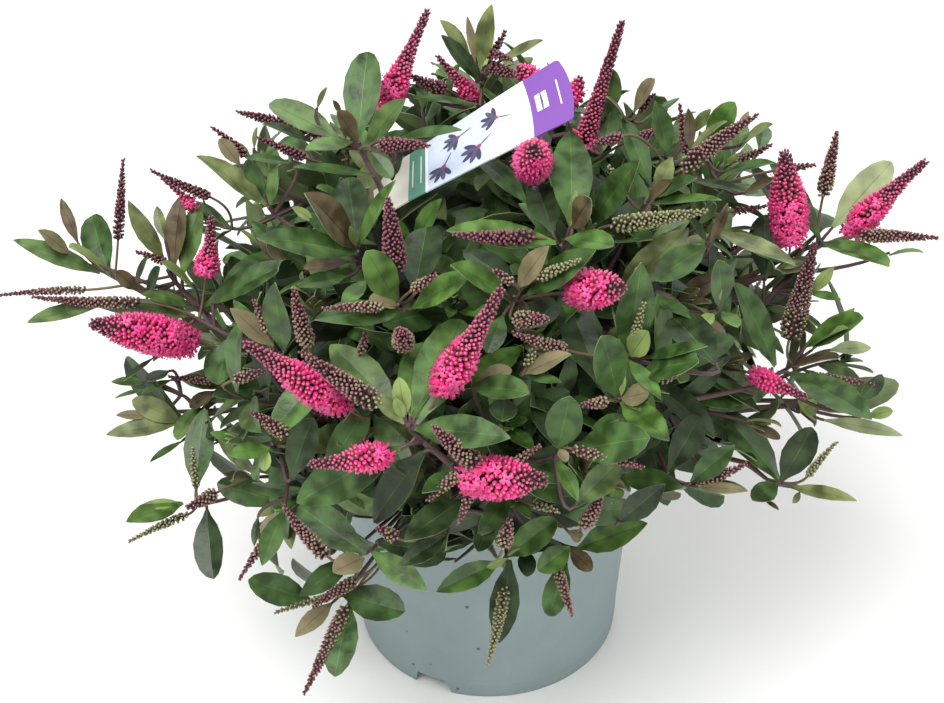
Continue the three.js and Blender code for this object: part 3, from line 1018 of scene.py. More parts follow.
def closed_spikes() -> list[Spike]:
    """The spikes still in bud that the front view shows."""
    dark, green = Hue.DARK, Hue.GREEN
    return [
        Spike(foot=(140, 302), tip=(33, 297), length=54, girth=7.5, depth=-42),
        Spike(foot=(86, 290), tip=(1, 295), length=43, girth=5.5, depth=-32),
        Spike(foot=(118, 240), tip=(123, 160), length=44, girth=7, hue=dark, depth=0),
        Spike(foot=(165, 262), tip=(137, 252), length=18, girth=5.5, hue=dark, depth=-20),
        Spike(foot=(322, 137), tip=(238, 112), length=50, girth=9.5, hue=dark, depth=10),
        Spike(foot=(245, 156), tip=(213, 128), length=26, girth=6, hue=dark, depth=10),
        Spike(foot=(305, 158), tip=(258, 138), length=32, girth=6.4, hue=dark, depth=0),
        Spike(foot=(210, 197), tip=(152, 171), length=34, girth=6.5, hue=dark, depth=0),
        Spike(foot=(380, 146), tip=(428, 146), length=32, girth=8.6, hue=dark, reach=1.06),
        Spike(foot=(396, 270), tip=(388, 199), length=42, girth=12, hue=dark, reach=1.07),
        Spike(foot=(490, 66), tip=(519, 76), length=24, girth=8, hue=dark, depth=15),
        Spike(foot=(484, 52), tip=(512, 60), length=22, girth=6.5, hue=dark, depth=15),
        Spike(foot=(494, 52), tip=(505, 31), length=13, girth=4.5, hue=dark, depth=15),
        Spike(foot=(446, 90), tip=(409, 75), length=26, girth=8.5, hue=dark, depth=15),
        Spike(foot=(532, 237), tip=(455, 234), length=46, girth=8.8, hue=dark, reach=1.09),
        Spike(foot=(613, 225), tip=(706, 211), length=52, girth=9.5, hue=green, reach=1.07),
        Spike(foot=(684, 168), tip=(756, 116), length=52, girth=10.4, reach=1.04),
        Spike(foot=(738, 160), tip=(771, 145), length=26, girth=5.5, depth=0),
        Spike(foot=(640, 136), tip=(668, 128), length=22, girth=5.5, hue=dark, depth=0),
        Spike(foot=(686, 153), tip=(680, 105), length=28, girth=6, hue=dark, depth=0),
        Spike(foot=(823, 196), tip=(837, 132), length=40, girth=9.4, depth=8),
        Spike(foot=(860, 236), tip=(937, 238), length=46, girth=8.6, depth=-15),
        Spike(foot=(789, 340), tip=(814, 246), length=50, girth=14.5, depth=-40),
        Spike(foot=(790, 168), tip=(815, 165), length=16, girth=5, hue=dark, depth=0),
        Spike(foot=(808, 376), tip=(873, 384), length=36, girth=6, depth=-55),
        Spike(foot=(566, 350), tip=(514, 334), length=34, girth=7.4, reach=1.04),
        Spike(foot=(517, 320), tip=(547, 319), length=24, girth=9.4, reach=1.07),
        Spike(foot=(404, 344), tip=(399, 330), length=22, girth=11.5, reach=1.05),
        Spike(foot=(308, 345), tip=(294, 290), length=36, girth=9.4, reach=1.04),
        Spike(foot=(379, 404), tip=(302, 353), length=48, girth=11.5, reach=1.1),
        Spike(foot=(480, 466), tip=(434, 427), length=38, girth=10.5, reach=1.1),
        Spike(foot=(187, 515), tip=(130, 541), length=42, girth=5.6, hue=green, depth=-95),
        Spike(foot=(216, 493), tip=(188, 508), length=18, girth=8.8, depth=-97),
        Spike(foot=(276, 526), tip=(240, 578), length=36, girth=6.4, reach=1.0),
        Spike(foot=(327, 556), tip=(284, 507), length=42, girth=8.6, reach=1.06),
        Spike(foot=(356, 580), tip=(314, 606), length=25, girth=7.5, depth=-150),
        Spike(foot=(345, 592), tip=(277, 612), length=36, girth=4.6, hue=green, depth=-150),
        Spike(foot=(347, 606), tip=(305, 692), length=58, girth=8.8, depth=-152),
        Spike(foot=(505, 588), tip=(488, 664), length=44, girth=7.6, hue=green, depth=-152),
        Spike(foot=(558, 570), tip=(572, 615), length=30, girth=6.6, depth=-152),
        Spike(foot=(458, 474), tip=(429, 500), length=26, girth=6.4, reach=1.09),
        Spike(foot=(472, 490), tip=(459, 522), length=24, girth=5.6, reach=1.08),
        Spike(foot=(503, 547), tip=(510, 520), length=18, girth=9, reach=1.03),
        Spike(foot=(583, 526), tip=(602, 496), length=24, girth=8.5, reach=1.03),
        Spike(foot=(573, 449), tip=(641, 467), length=42, girth=6.2, reach=1.08),
        Spike(foot=(808, 476), tip=(836, 443), length=32, girth=5, hue=green, depth=-98),
        Spike(foot=(698, 484), tip=(746, 464), length=32, girth=7, reach=1.0),
        Spike(foot=(506, 470), tip=(540, 446), length=24, girth=5.6, reach=1.1),
        Spike(foot=(660, 380), tip=(682, 371), length=16, girth=6, reach=1.09),
        Spike(foot=(634, 338), tip=(644, 303), length=24, girth=5.4, hue=green, reach=1.09),
        Spike(foot=(606, 401), tip=(582, 405), length=18, girth=6.6, reach=1.05),
        Spike(foot=(382, 307), tip=(324, 309), length=34, girth=6, reach=1.12),
        Spike(foot=(413, 290), tip=(436, 275), length=18, girth=6, reach=1.09),
        Spike(foot=(539, 278), tip=(580, 260), length=26, girth=6, hue=green, reach=1.12),
        Spike(foot=(512, 283), tip=(494, 270), length=13, girth=5.4, reach=1.09),
        Spike(foot=(361, 352), tip=(366, 331), length=16, girth=5, reach=1.04),
        Spike(foot=(196, 486), tip=(193, 448), length=24, girth=4.6, hue=green, depth=-96),
        Spike(foot=(287, 436), tip=(253, 413), length=20, girth=8.6, reach=1.0),
        Spike(foot=(535, 505), tip=(557, 511), length=13, girth=4.4, hue=green, reach=1.02),
        Spike(foot=(643, 178), tip=(641, 150), length=14, girth=4, hue=green, depth=-10),
        Spike(foot=(640, 112), tip=(654, 94), length=12, girth=5, hue=dark, depth=4),
        Spike(foot=(735, 211), tip=(765, 206), length=16, girth=4.5, hue=dark, depth=-10),
        Spike(foot=(527, 366), tip=(538, 341), length=14, girth=4.5, hue=green, reach=1.06),
        Spike(foot=(268, 333), tip=(254, 301), length=20, girth=5, reach=1.03),
        Spike(foot=(214, 381), tip=(169, 377), length=24, girth=5.5, depth=-40),
        Spike(foot=(397, 538), tip=(377, 528), length=12, girth=7.5, reach=1.05),
        Spike(foot=(234, 380), tip=(264, 371), length=17, girth=7, reach=1.0),
        Spike(foot=(621, 136), tip=(589, 146), length=22, girth=6, hue=dark, reach=1.03),
        Spike(foot=(624, 191), tip=(609, 166), length=17, girth=5.5, hue=green, reach=1.05),
    ]


@dataclass
class Shoot:
    """A leafy shoot: its growing point, heading and look, in millimetres."""

    point: np.ndarray
    heading: np.ndarray
    mass: Mass
    pairs: int = 8
    size: float = 1.0
    tint: str = "green"
    path: np.ndarray | None = None
    bare: float = math.inf


@dataclass
class LeafSeen:
    """A leaf placed by where its tip and its base show, and its real length in millimetres."""

    tip: tuple[float, float]
    base: tuple[float, float]
    length: float = 40.0
    tint: Leaf = GREEN
    aspect: float = 0.36
    towards: bool = True


@dataclass
class ShootSeen:
    """A shoot placed by where its growing point and the end of its heading show, in pixels."""

    at: tuple[float, float]
    aims: tuple[float, float]
    depth: float | None = None
    reach: float = 1.05
    springs: tuple[float, float] | None = None
    leaves: tuple[LeafSeen, ...] = ()


def seen_shoots() -> list[ShootSeen]:
    """The shoots that stand out of the crown's outline or catch the eye on its face."""
    return [*shoots_on_the_left(), *shoots_on_the_right(), *shoots_on_top(), *shoots_in_the_middle(),
            *shoots_before_the_pot()]


def shoots_on_the_left() -> list[ShootSeen]:
    """The shoots on the left of the crown."""
    return [
        ShootSeen(at=(104, 271), aims=(72, 250), depth=-5, springs=(143, 291), leaves=(
            LeafSeen(tip=(13, 240), base=(100, 273), length=45, tint=SAGE, aspect=0.25),
            LeafSeen(tip=(61, 198), base=(78, 243), length=26, tint=BRONZE, aspect=0.28, towards=False),
            LeafSeen(tip=(38, 230), base=(70, 254), length=24, tint=TAN, aspect=0.4),
            LeafSeen(tip=(92, 216), base=(109, 272), length=38, aspect=0.5, towards=False),
            LeafSeen(tip=(69, 247), base=(110, 275), length=34, tint=YOUNG, aspect=0.5))),
        ShootSeen(at=(168, 270), aims=(156, 235), depth=-20, springs=(226, 334), leaves=(
            LeafSeen(tip=(128, 200), base=(164, 260), length=42, tint=OLIVE, aspect=0.26),
            LeafSeen(tip=(157, 206), base=(165, 240), length=20, tint=OLIVE, towards=False),
            LeafSeen(tip=(182, 195), base=(174, 268), length=38, tint=BRONZE, aspect=0.35),
            LeafSeen(tip=(201, 203), base=(183, 274), length=38, tint=SAGE, aspect=0.4),
            LeafSeen(tip=(162, 263), base=(192, 284), length=26, tint=YOUNG, aspect=0.42),
            LeafSeen(tip=(116, 271), base=(137, 290), length=16, tint=BRONZE, aspect=0.5),
            LeafSeen(tip=(148, 256), base=(135, 284), length=20, tint=OLD_AND_SHADED, aspect=0.3),
            LeafSeen(tip=(160, 267), base=(147, 297), length=22, tint=OLD_AND_SHADED, aspect=0.46),
            LeafSeen(tip=(141, 294), base=(192, 305), length=30, tint=SAGE, aspect=0.34))),
        ShootSeen(at=(186, 316), aims=(120, 310), depth=-35, springs=(226, 334), leaves=(
            LeafSeen(tip=(27, 323), base=(100, 306), tint=SAGE, aspect=0.25),
            LeafSeen(tip=(98, 307), base=(195, 316), length=50, tint=SAGE, aspect=0.27, towards=False),
            LeafSeen(tip=(218, 385), base=(231, 338), length=27, aspect=0.85),
            LeafSeen(tip=(212, 396), base=(281, 386), length=42, tint=OLD_AND_SHADED, aspect=0.3),
            LeafSeen(tip=(294, 262), base=(204, 306), length=56, aspect=0.3),
            LeafSeen(tip=(277, 251), base=(220, 290), length=48, aspect=0.3, towards=False),
            LeafSeen(tip=(123, 381), base=(153, 358), length=19, tint=OLD_AND_SHADED, aspect=0.2))),
        ShootSeen(at=(178, 395), aims=(125, 408), depth=-40, leaves=(
            LeafSeen(tip=(106, 435), base=(182, 422), length=39, tint=OLIVE, aspect=0.26),
            LeafSeen(tip=(116, 415), base=(150, 416), length=18, tint=TAN, aspect=0.35),
            LeafSeen(tip=(132, 400), base=(183, 422), length=28, tint=OLIVE, aspect=0.42),
            LeafSeen(tip=(111, 382), base=(146, 382), length=18, tint=FRESH, aspect=0.3),
            LeafSeen(tip=(115, 398), base=(146, 389), length=16, tint=FRESH, aspect=0.2),
            LeafSeen(tip=(141, 394), base=(171, 380), length=18, tint=SAGE, aspect=0.3),
            LeafSeen(tip=(147, 381), base=(169, 371), length=15, tint=OLD_AND_SHADED, aspect=0.6),
            LeafSeen(tip=(181, 378), base=(222, 388), length=24, tint=OLIVE, aspect=0.35),
            LeafSeen(tip=(177, 440), base=(197, 406), length=24, tint=SAGE, aspect=0.46),
            LeafSeen(tip=(190, 408), base=(216, 391), length=19, tint=BRONZE, aspect=0.46),
            LeafSeen(tip=(150, 462), base=(182, 441), length=24, aspect=0.2))),
        ShootSeen(at=(186, 506), aims=(155, 505), depth=-95, leaves=(
            LeafSeen(tip=(205, 408), base=(196, 489), length=44, aspect=0.39, towards=False),
            LeafSeen(tip=(126, 522), base=(183, 503), length=34, tint=FRESH, aspect=0.4),
            LeafSeen(tip=(142, 506), base=(182, 504), length=22, tint=YOUNG, aspect=0.3),
            LeafSeen(tip=(214, 579), base=(207, 510), length=38, tint=OLD_AND_SHADED, aspect=0.46),
            LeafSeen(tip=(217, 483), base=(281, 503), length=35, aspect=0.44))),
        ShootSeen(at=(272, 444), aims=(262, 430), reach=1.0, leaves=(
            LeafSeen(tip=(228, 455), base=(270, 448), length=23, tint=FRESH, aspect=0.4),
            LeafSeen(tip=(264, 471), base=(268, 450), length=10, tint=YOUNG, aspect=0.6),
            LeafSeen(tip=(313, 418), base=(291, 478), length=34, tint=OLD_AND_SHADED, aspect=0.45))),
        ShootSeen(at=(284, 507), aims=(275, 530), reach=1.02, leaves=(
            LeafSeen(tip=(262, 566), base=(284, 510), length=32),
            LeafSeen(tip=(261, 534), base=(282, 512), length=15, tint=TAN, aspect=0.5),
            LeafSeen(tip=(254, 546), base=(258, 517), length=15, tint=OLD_AND_SHADED, aspect=0.3))),
        ShootSeen(at=(262, 352), aims=(255, 325), reach=1.02, leaves=(
            LeafSeen(tip=(275, 282), base=(284, 350), length=42, aspect=0.38),
            LeafSeen(tip=(230, 308), base=(273, 346), length=30, tint=TAN))),
    ]


def shoots_on_the_right() -> list[ShootSeen]:
    """The shoots on the right of the crown."""
    return [
        ShootSeen(at=(806, 406), aims=(850, 412), depth=-50, springs=(746, 409), leaves=(
            LeafSeen(tip=(816, 400), base=(800, 412), length=14, tint=YOUNG, aspect=0.5),
            LeafSeen(tip=(799, 393), base=(815, 421), length=16, tint=OLIVE, aspect=0.6),
            LeafSeen(tip=(903, 436), base=(824, 420), length=42, tint=PALE, aspect=0.22),
            LeafSeen(tip=(893, 411), base=(868, 416), length=14, tint=YOUNG, aspect=0.5),
            LeafSeen(tip=(884, 378), base=(852, 398), length=20, aspect=0.4))),
        ShootSeen(at=(800, 362), aims=(838, 345), depth=-45, leaves=(
            LeafSeen(tip=(864, 318), base=(806, 346), tint=FRESH, aspect=0.42),
            LeafSeen(tip=(848, 328), base=(812, 350), length=34, tint=YOUNG, aspect=0.34),
            LeafSeen(tip=(838, 359), base=(792, 366), length=34, tint=BRONZE, aspect=0.48),
            LeafSeen(tip=(871, 348), base=(830, 350), length=30, tint=PALE, aspect=0.3, towards=False),
            LeafSeen(tip=(855, 308), base=(808, 345), length=34, tint=OLIVE, aspect=0.2, towards=False))),
        ShootSeen(at=(822, 241), aims=(850, 210), depth=-8, springs=(768, 300), leaves=(
            LeafSeen(tip=(892, 162), base=(833, 227), length=44, tint=PALE, aspect=0.405),
            LeafSeen(tip=(889, 267), base=(820, 243), length=44, tint=FRESH, aspect=0.41),
            LeafSeen(tip=(768, 160), base=(820, 240), length=52, aspect=0.3, towards=False),
            LeafSeen(tip=(716, 230), base=(796, 266), length=52, aspect=0.24),
            LeafSeen(tip=(834, 267), base=(812, 292), length=20, tint=YOUNG),
            LeafSeen(tip=(764, 215), base=(764, 281), tint=OLD_AND_SHADED, aspect=0.46, towards=False),
            LeafSeen(tip=(841, 300), base=(808, 292), length=20, tint=FRESH, aspect=0.3))),
        ShootSeen(at=(772, 368), aims=(750, 340), depth=-62, leaves=(
            LeafSeen(tip=(733, 282), base=(775, 366), length=56),
            LeafSeen(tip=(690, 395), base=(753, 395), length=36, aspect=0.5),
            LeafSeen(tip=(872, 420), base=(790, 373), length=54, aspect=0.38),
            LeafSeen(tip=(883, 376), base=(858, 402), length=22, tint=OLD_AND_SHADED, aspect=0.42, towards=False))),
        ShootSeen(at=(775, 484), aims=(800, 486), depth=-98, leaves=(
            LeafSeen(tip=(719, 409), base=(779, 481), length=50, aspect=0.38, towards=False),
            LeafSeen(tip=(812, 427), base=(781, 481), length=34, tint=OLD_AND_SHADED, aspect=0.5),
            LeafSeen(tip=(857, 501), base=(790, 487), length=38, tint=OLIVE, aspect=0.22),
            LeafSeen(tip=(752, 500), base=(778, 484), length=20, aspect=0.6),
            LeafSeen(tip=(779, 510), base=(765, 500), length=10, tint=BRONZE, aspect=0.3),
            LeafSeen(tip=(793, 503), base=(800, 492), length=8, tint=OLIVE, aspect=0.5))),
        ShootSeen(at=(690, 484), aims=(720, 470), reach=1.0, leaves=(
            LeafSeen(tip=(735, 445), base=(691, 482), length=32, aspect=0.38),
            LeafSeen(tip=(747, 491), base=(698, 487), length=28, tint=TAN, aspect=0.22),
            LeafSeen(tip=(748, 491), base=(705, 484), length=22, aspect=0.3),
            LeafSeen(tip=(683, 488), base=(620, 477), length=36),
            LeafSeen(tip=(699, 417), base=(668, 472), length=36, tint=OLD_AND_SHADED, aspect=0.44, towards=False),
            LeafSeen(tip=(665, 484), base=(620, 521), length=36, tint=OLD_AND_SHADED, aspect=0.38))),
    ]


def shoots_on_top() -> list[ShootSeen]:
    """The shoots round the label and on the upper right."""
    return [
        ShootSeen(at=(482, 72), aims=(486, 40), depth=10, leaves=(
            LeafSeen(tip=(492, 4), base=(480, 68), length=34, tint=OLIVE, aspect=0.32),
            LeafSeen(tip=(440, 20), base=(470, 55), length=24, tint=OLIVE, aspect=0.34),
            LeafSeen(tip=(441, 35), base=(480, 82), length=32, tint=OLD_AND_SHADED, aspect=0.32),
            LeafSeen(tip=(543, 40), base=(502, 60), length=24, tint=OLIVE, aspect=0.34),
            LeafSeen(tip=(467, 16), base=(475, 62), length=24, tint=TAN, aspect=0.2))),
        ShootSeen(at=(358, 142), aims=(362, 110), reach=1.0, springs=(377, 180), leaves=(
            LeafSeen(tip=(368, 52), base=(358, 140), length=46, aspect=0.42, towards=False),
            LeafSeen(tip=(406, 99), base=(366, 150), length=36, tint=SAGE, aspect=0.4),
            LeafSeen(tip=(337, 111), base=(357, 141), length=20, tint=BRONZE, aspect=0.5),
            LeafSeen(tip=(305, 150), base=(352, 142), length=28, tint=FRESH, aspect=0.4),
            LeafSeen(tip=(269, 104), base=(338, 138), length=38, tint=SAGE, aspect=0.42, towards=False),
            LeafSeen(tip=(262, 124), base=(312, 142), length=28, tint=OLD_AND_SHADED, aspect=0.3),
            LeafSeen(tip=(327, 87), base=(317, 108), length=12, tint=OLIVE, aspect=0.3),
            LeafSeen(tip=(333, 100), base=(341, 114), length=9, tint=BRONZE, aspect=0.35),
            LeafSeen(tip=(404, 180), base=(364, 184), length=22, tint=DEEP_SHADE, aspect=0.2),
            LeafSeen(tip=(293, 167), base=(374, 176), length=42, aspect=0.15))),
        ShootSeen(at=(404, 138), aims=(440, 134), reach=1.06, leaves=(
            LeafSeen(tip=(392, 178), base=(371, 152), length=17, aspect=0.5),
            LeafSeen(tip=(403, 156), base=(394, 176), length=12, tint=OLD_AND_SHADED),
            LeafSeen(tip=(462, 130), base=(400, 138), length=33, aspect=0.22))),
        ShootSeen(at=(268, 207), aims=(255, 180), reach=1.0, leaves=(
            LeafSeen(tip=(196, 156), base=(266, 205), length=44, tint=OLIVE, aspect=0.32),
            LeafSeen(tip=(219, 139), base=(240, 165), length=17, tint=TAN, aspect=0.45),
            LeafSeen(tip=(257, 127), base=(254, 148), length=11, tint=OLIVE, aspect=0.3),
            LeafSeen(tip=(246, 160), base=(264, 195), length=20, aspect=0.45),
            LeafSeen(tip=(245, 158), base=(290, 163), length=24, aspect=0.3),
            LeafSeen(tip=(277, 166), base=(270, 205), length=20, tint=SAGE, aspect=0.4))),
        ShootSeen(at=(476, 104), aims=(450, 100), depth=5, leaves=(
            LeafSeen(tip=(408, 98), base=(474, 104), length=34, aspect=0.16),
            LeafSeen(tip=(411, 84), base=(428, 96), length=10, aspect=0.3))),
        ShootSeen(at=(358, 251), aims=(362, 225), leaves=(
            LeafSeen(tip=(256, 238), base=(357, 254), length=54, aspect=0.28),
            LeafSeen(tip=(304, 193), base=(355, 248), length=46, tint=BRONZE, aspect=0.4),
            LeafSeen(tip=(396, 180), base=(359, 246), length=44, tint=FRESH, aspect=0.2),
            LeafSeen(tip=(348, 178), base=(357, 242), length=40, tint=OLD_AND_SHADED, aspect=0.42, towards=False),
            LeafSeen(tip=(350, 226), base=(356, 246), length=14, tint=YOUNG, aspect=0.3),
            LeafSeen(tip=(303, 212), base=(350, 246), length=26, aspect=0.3),
            LeafSeen(tip=(292, 207), base=(315, 222), length=13, tint=YOUNG, aspect=0.4),
            LeafSeen(tip=(303, 268), base=(350, 262), length=26, tint=BRONZE, aspect=0.3, towards=False),
            LeafSeen(tip=(299, 287), base=(346, 277), length=26))),
        ShootSeen(at=(634, 112), aims=(640, 90), depth=5, leaves=(
            LeafSeen(tip=(655, 79), base=(634, 112), length=24, tint=TAN, aspect=0.42),
            LeafSeen(tip=(622, 118), base=(650, 185), length=36, towards=False),
            LeafSeen(tip=(606, 96), base=(628, 124), length=26, tint=BRONZE, aspect=0.3),
            LeafSeen(tip=(613, 69), base=(606, 116), length=27, tint=SAGE, aspect=0.45),
            LeafSeen(tip=(612, 104), base=(603, 150), length=26, aspect=0.5, towards=False),
            LeafSeen(tip=(604, 80), base=(598, 120), length=20, tint=OLIVE, aspect=0.3),
            LeafSeen(tip=(680, 98), base=(642, 122), length=22, aspect=0.2))),
        ShootSeen(at=(668, 157), aims=(664, 130), reach=1.0, leaves=(
            LeafSeen(tip=(655, 101), base=(668, 156), length=29, aspect=0.38),
            LeafSeen(tip=(655, 194), base=(672, 157), length=26, tint=OLIVE),
            LeafSeen(tip=(711, 109), base=(692, 133), length=16, tint=OLIVE, aspect=0.4),
            LeafSeen(tip=(688, 108), base=(690, 150), length=22, tint=BRONZE, aspect=0.3))),
        ShootSeen(at=(708, 142), aims=(716, 120), reach=1.0, leaves=(
            LeafSeen(tip=(735, 102), base=(708, 145), length=28, tint=FRESH, aspect=0.5),
            LeafSeen(tip=(727, 121), base=(690, 150), length=28, tint=OLIVE, aspect=0.3),
            LeafSeen(tip=(773, 124), base=(741, 144), length=24, tint=OLIVE),
            LeafSeen(tip=(774, 163), base=(724, 172), length=32, aspect=0.28),
            LeafSeen(tip=(749, 111), base=(738, 130), length=11, tint=TAN, aspect=0.35),
            LeafSeen(tip=(746, 192), base=(690, 180), length=30, tint=OLD_AND_SHADED, aspect=0.22),
            LeafSeen(tip=(775, 178), base=(746, 192), length=17, tint=BRONZE, aspect=0.35))),
        ShootSeen(at=(645, 203), aims=(660, 185), reach=1.02, leaves=(
            LeafSeen(tip=(722, 200), base=(650, 204), tint=FRESH, aspect=0.19),
            LeafSeen(tip=(697, 178), base=(652, 198), length=32, aspect=0.3),
            LeafSeen(tip=(672, 180), base=(648, 200), length=18, tint=BRONZE, aspect=0.4),
            LeafSeen(tip=(640, 160), base=(592, 226), length=50, aspect=0.3))),
        ShootSeen(at=(708, 249), aims=(714, 225), reach=1.02, leaves=(
            LeafSeen(tip=(655, 281), base=(706, 246), length=36, aspect=0.42),
            LeafSeen(tip=(661, 281), base=(690, 256), length=22, tint=BRONZE, aspect=0.3),
            LeafSeen(tip=(796, 266), base=(717, 232), length=44, tint=OLIVE, aspect=0.28),
            LeafSeen(tip=(728, 203), base=(711, 243), length=26, tint=BRONZE, aspect=0.22),
            LeafSeen(tip=(689, 217), base=(707, 243), length=18, tint=OLD_AND_SHADED, aspect=0.3))),
        ShootSeen(at=(720, 308), aims=(722, 285), reach=1.02, leaves=(
            LeafSeen(tip=(718, 260), base=(720, 308), length=32, aspect=0.42),
            LeafSeen(tip=(723, 287), base=(720, 306), length=13, tint=YOUNG, aspect=0.5),
            LeafSeen(tip=(738, 327), base=(722, 312), length=16, tint=FRESH, aspect=0.5),
            LeafSeen(tip=(700, 326), base=(714, 314), length=13, tint=YOUNG, aspect=0.5),
            LeafSeen(tip=(693, 319), base=(655, 298), length=26, aspect=0.3))),
    ]


def shoots_in_the_middle() -> list[ShootSeen]:
    """The shoots on the face of the crown."""
    return [
        ShootSeen(at=(398, 304), aims=(396, 280), leaves=(
            LeafSeen(tip=(366, 251), base=(396, 302), length=34, tint=FRESH, aspect=0.46),
            LeafSeen(tip=(369, 281), base=(386, 294), length=14, tint=YOUNG, aspect=0.5),
            LeafSeen(tip=(380, 279), base=(391, 294), length=11, tint=YOUNG, aspect=0.5),
            LeafSeen(tip=(369, 300), base=(398, 306), length=20, tint=TAN, aspect=0.45),
            LeafSeen(tip=(342, 308), base=(366, 281), length=22, tint=FRESH, aspect=0.4),
            LeafSeen(tip=(314, 320), base=(404, 311), length=50, aspect=0.3),
            LeafSeen(tip=(468, 278), base=(413, 308), length=34, tint=FRESH, aspect=0.42),
            LeafSeen(tip=(427, 228), base=(415, 292), length=42, tint=OLD_AND_SHADED, aspect=0.5, towards=False))),
        ShootSeen(at=(561, 245), aims=(563, 218), leaves=(
            LeafSeen(tip=(570, 131), base=(572, 229), length=54, aspect=0.38, towards=False),
            LeafSeen(tip=(446, 231), base=(556, 243), length=56, tint=FRESH, aspect=0.28),
            LeafSeen(tip=(614, 246), base=(566, 239), length=28, tint=FRESH, aspect=0.46),
            LeafSeen(tip=(591, 199), base=(572, 227), length=22, tint=BRONZE, aspect=0.6),
            LeafSeen(tip=(576, 190), base=(570, 226), length=18, tint=YOUNG, aspect=0.3),
            LeafSeen(tip=(537, 186), base=(552, 232), length=32, tint=OLD_AND_SHADED, aspect=0.5, towards=False))),
        ShootSeen(at=(514, 296), aims=(520, 270), leaves=(
            LeafSeen(tip=(450, 265), base=(506, 294), length=38, tint=FRESH),
            LeafSeen(tip=(549, 246), base=(518, 288), length=30, tint=TAN, aspect=0.38),
            LeafSeen(tip=(596, 250), base=(528, 294), length=44, aspect=0.34),
            LeafSeen(tip=(463, 250), base=(516, 286), length=36, tint=OLD_AND_SHADED, aspect=0.4, towards=False),
            LeafSeen(tip=(487, 353), base=(503, 316), length=20, aspect=0.55),
            LeafSeen(tip=(557, 303), base=(522, 330), length=26, tint=OLD_AND_SHADED, aspect=0.5, towards=False))),
        ShootSeen(at=(472, 384), aims=(470, 365), reach=1.04, leaves=(
            LeafSeen(tip=(529, 393), base=(472, 386), length=32, aspect=0.42),
            LeafSeen(tip=(512, 370), base=(477, 382), length=19, tint=TAN, aspect=0.5),
            LeafSeen(tip=(502, 421), base=(505, 398), length=16, tint=OLD_AND_SHADED, aspect=0.8))),
        ShootSeen(at=(523, 374), aims=(540, 365), reach=1.05, leaves=(
            LeafSeen(tip=(571, 354), base=(525, 373), length=26, tint=TAN, aspect=0.4),
            LeafSeen(tip=(562, 382), base=(526, 376), length=20, aspect=0.25))),
        ShootSeen(at=(627, 355), aims=(630, 330), leaves=(
            LeafSeen(tip=(641, 262), base=(627, 352), length=52),
            LeafSeen(tip=(648, 331), base=(631, 356), length=20, tint=YOUNG, aspect=0.6),
            LeafSeen(tip=(708, 346), base=(645, 358), length=40, aspect=0.2),
            LeafSeen(tip=(673, 318), base=(716, 364), length=40, tint=OLD_AND_SHADED, aspect=0.5, towards=False),
            LeafSeen(tip=(661, 399), base=(628, 360), length=28, tint=FRESH, aspect=0.3),
            LeafSeen(tip=(699, 362), base=(644, 372), length=36, aspect=0.5))),
        ShootSeen(at=(619, 398), aims=(621, 375), leaves=(
            LeafSeen(tip=(601, 336), base=(617, 396), length=40, aspect=0.46),
            LeafSeen(tip=(649, 393), base=(622, 399), length=18, tint=TAN, aspect=0.6),
            LeafSeen(tip=(669, 441), base=(621, 402), length=38, tint=FRESH, aspect=0.38),
            LeafSeen(tip=(641, 411), base=(627, 403), length=13, tint=OLIVE, aspect=0.35),
            LeafSeen(tip=(624, 372), base=(621, 396), length=13, tint=YOUNG, aspect=0.25),
            LeafSeen(tip=(562, 288), base=(602, 388), length=56, tint=OLD_AND_SHADED, towards=False))),
        ShootSeen(at=(560, 448), aims=(562, 425), leaves=(
            LeafSeen(tip=(570, 396), base=(558, 448), length=34, aspect=0.5),
            LeafSeen(tip=(578, 501), base=(558, 461), length=32, tint=FRESH, aspect=0.34),
            LeafSeen(tip=(650, 438), base=(573, 451), length=44, aspect=0.42),
            LeafSeen(tip=(540, 398), base=(556, 446), length=32, tint=OLD_AND_SHADED, aspect=0.5, towards=False),
            LeafSeen(tip=(566, 432), base=(559, 447), length=10, tint=YOUNG, aspect=0.4),
            LeafSeen(tip=(566, 462), base=(560, 449), length=9, tint=TAN, aspect=0.6),
            LeafSeen(tip=(618, 464), base=(576, 506), length=32, tint=SAGE, aspect=0.44, towards=False))),
        ShootSeen(at=(408, 424), aims=(412, 395), reach=1.08, springs=(452, 466), leaves=(
            LeafSeen(tip=(330, 345), base=(398, 412), length=50, tint=SAGE, aspect=0.38, towards=False),
            LeafSeen(tip=(423, 343), base=(414, 418), length=42, tint=FRESH, aspect=0.46, towards=False),
            LeafSeen(tip=(511, 438), base=(414, 428), length=50, aspect=0.33),
            LeafSeen(tip=(371, 390), base=(404, 424), length=22, tint=OLIVE, aspect=0.34),
            LeafSeen(tip=(297, 503), base=(400, 448), length=60, towards=False),
            LeafSeen(tip=(399, 377), base=(405, 416), length=21, tint=YOUNG, aspect=0.42),
            LeafSeen(tip=(413, 378), base=(410, 416), length=21, tint=YOUNG, aspect=0.34, towards=False),
            LeafSeen(tip=(395, 398), base=(404, 418), length=13, tint=YOUNG, aspect=0.42),
            LeafSeen(tip=(462, 320), base=(416, 424), length=56, tint=FRESH, aspect=0.42, towards=False))),
        ShootSeen(at=(452, 464), aims=(420, 440), leaves=(
            LeafSeen(tip=(422, 493), base=(456, 472), length=26),
            LeafSeen(tip=(374, 522), base=(424, 452), length=56, tint=OLD_AND_SHADED, towards=False),
            LeafSeen(tip=(562, 490), base=(520, 486), length=34, aspect=0.45, towards=False))),
    ]


